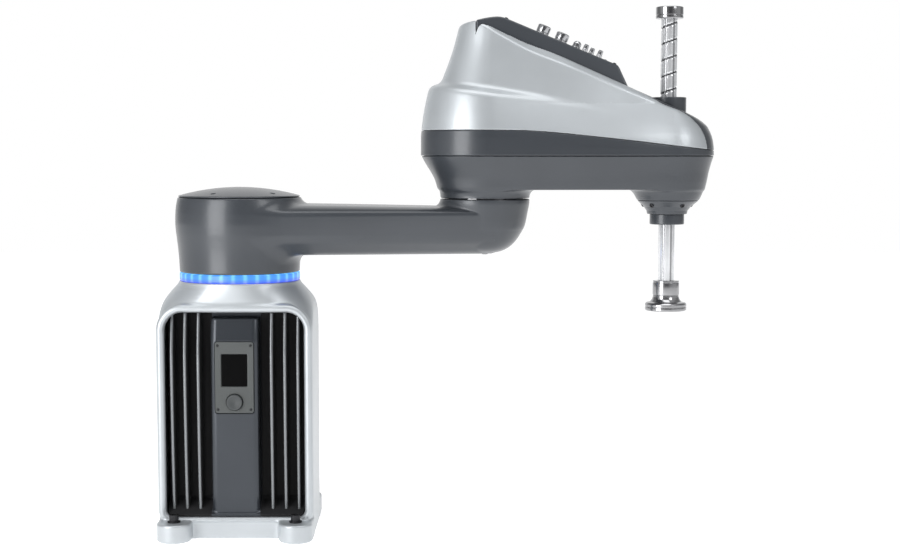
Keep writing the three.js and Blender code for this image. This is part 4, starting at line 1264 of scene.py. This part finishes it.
def area_light(name, place, aim, size, power):
    lamp = bpy.data.lights.new(name, "AREA")
    lamp.shape = "RECTANGLE"
    lamp.size, lamp.size_y = size
    lamp.energy = power
    obj = bpy.data.objects.new(name, lamp)
    obj.location = place
    obj.rotation_euler = (Vector(aim) - Vector(place)).to_track_quat("-Z", "Y").to_euler()
    bpy.context.scene.collection.objects.link(obj)


def surround(scene):
    """White where it is seen. As light it is grey by direction, so that polished parts show dark edges."""
    world = bpy.data.worlds.new("surround")
    world.use_nodes = True
    tree = world.node_tree
    coordinates = tree.nodes.new("ShaderNodeTexCoord")
    split = tree.nodes.new("ShaderNodeSeparateXYZ")
    tree.links.new(coordinates.outputs["Generated"], split.inputs["Vector"])
    spread = tree.nodes.new("ShaderNodeMapRange")
    spread.inputs["From Min"].default_value = -1
    spread.inputs["From Max"].default_value = 1
    tree.links.new(split.outputs["Y"], spread.inputs["Value"])
    ramp = tree.nodes.new("ShaderNodeValToRGB")
    elements = ramp.color_ramp.elements
    elements[0].color = (0.10, 0.10, 0.11, 1)
    elements[1].color = (1, 1, 1, 1)
    for position, value in ((0.04, 0.24), (0.2, 0.5), (0.42, 0.62), (0.6, 0.3), (0.82, 0.34), (0.9, 0.9)):
        elements.new(position).color = (value * 0.99, value, value * 1.01, 1)
    tree.links.new(spread.outputs["Result"], ramp.inputs["Fac"])
    seen = tree.nodes.new("ShaderNodeLightPath")
    mixed = tree.nodes.new("ShaderNodeMix")
    mixed.data_type = "RGBA"
    mixed.inputs[7].default_value = (1, 1, 1, 1)
    tree.links.new(seen.outputs["Is Camera Ray"], mixed.inputs[0])
    tree.links.new(ramp.outputs["Color"], mixed.inputs[6])
    tree.links.new(mixed.outputs[2], tree.nodes["Background"].inputs["Color"])
    scene.world = world


FLOOR = 9000.0


def build_studio():
    """A white floor, a pale surround, and soft boxes left, right and above."""
    scene = bpy.context.scene
    corners = [(-FLOOR, -FLOOR, 0), (FLOOR, -FLOOR, 0), (FLOOR, FLOOR, 0), (-FLOOR, FLOOR, 0)]
    floor = mesh_object("floor", corners, [(0, 1, 2, 3)])
    ground = new_material("floor", Roughness=0.9, Base_Color=(0.9, 0.9, 0.9, 1))
    shader_of(ground).inputs["Emission Color"].default_value = (1, 1, 1, 1)
    shader_of(ground).inputs["Emission Strength"].default_value = 0.62
    floor.data.materials.append(ground)
    surround(scene)
    area_light("box_left", (-1.35, -1.95, 0.85), (0.25, 0, 0.6), (1.3, 2.3), 50)
    area_light("box_right", (2.3, -1.9, 1.9), (0.5, 0, 0.6), (0.9, 0.9), 12)
    area_light("top", (0.3, -0.5, 3.0), (0.35, 0, 0.3), (2.6, 1.4), 26)
    scene.view_settings.view_transform = "Standard"


def build_camera():
    """The viewing angle: level in roll, 5.5 degrees down, a little right of the pedestal."""
    lens = bpy.data.cameras.new("camera")
    lens.sensor_width = 36
    lens.lens = 64.72
    lens.shift_x, lens.shift_y = 0.0245, 0.0368
    camera = bpy.data.objects.new("camera", lens)
    camera.location = (0.37483, -3.22091, 0.74955)
    camera.rotation_euler = (math.radians(90 - 5.48), 0, 0)
    bpy.context.scene.collection.objects.link(camera)
    bpy.context.scene.camera = camera


# ---- run order ----------------------------------------------------------------------------------

SCREW = skin("small_screw", screw_field, (-4, -4, -1), (4, 4, 3), 0.25, 0.5)
build_camera()
build_pedestal()
build_bolts()
build_bezel_screws()
build_light()
build_inner_link()
build_outer_link()
build_connectors()
build_quill()
bpy.data.objects.remove(SCREW)
dress_frame()
build_studio()
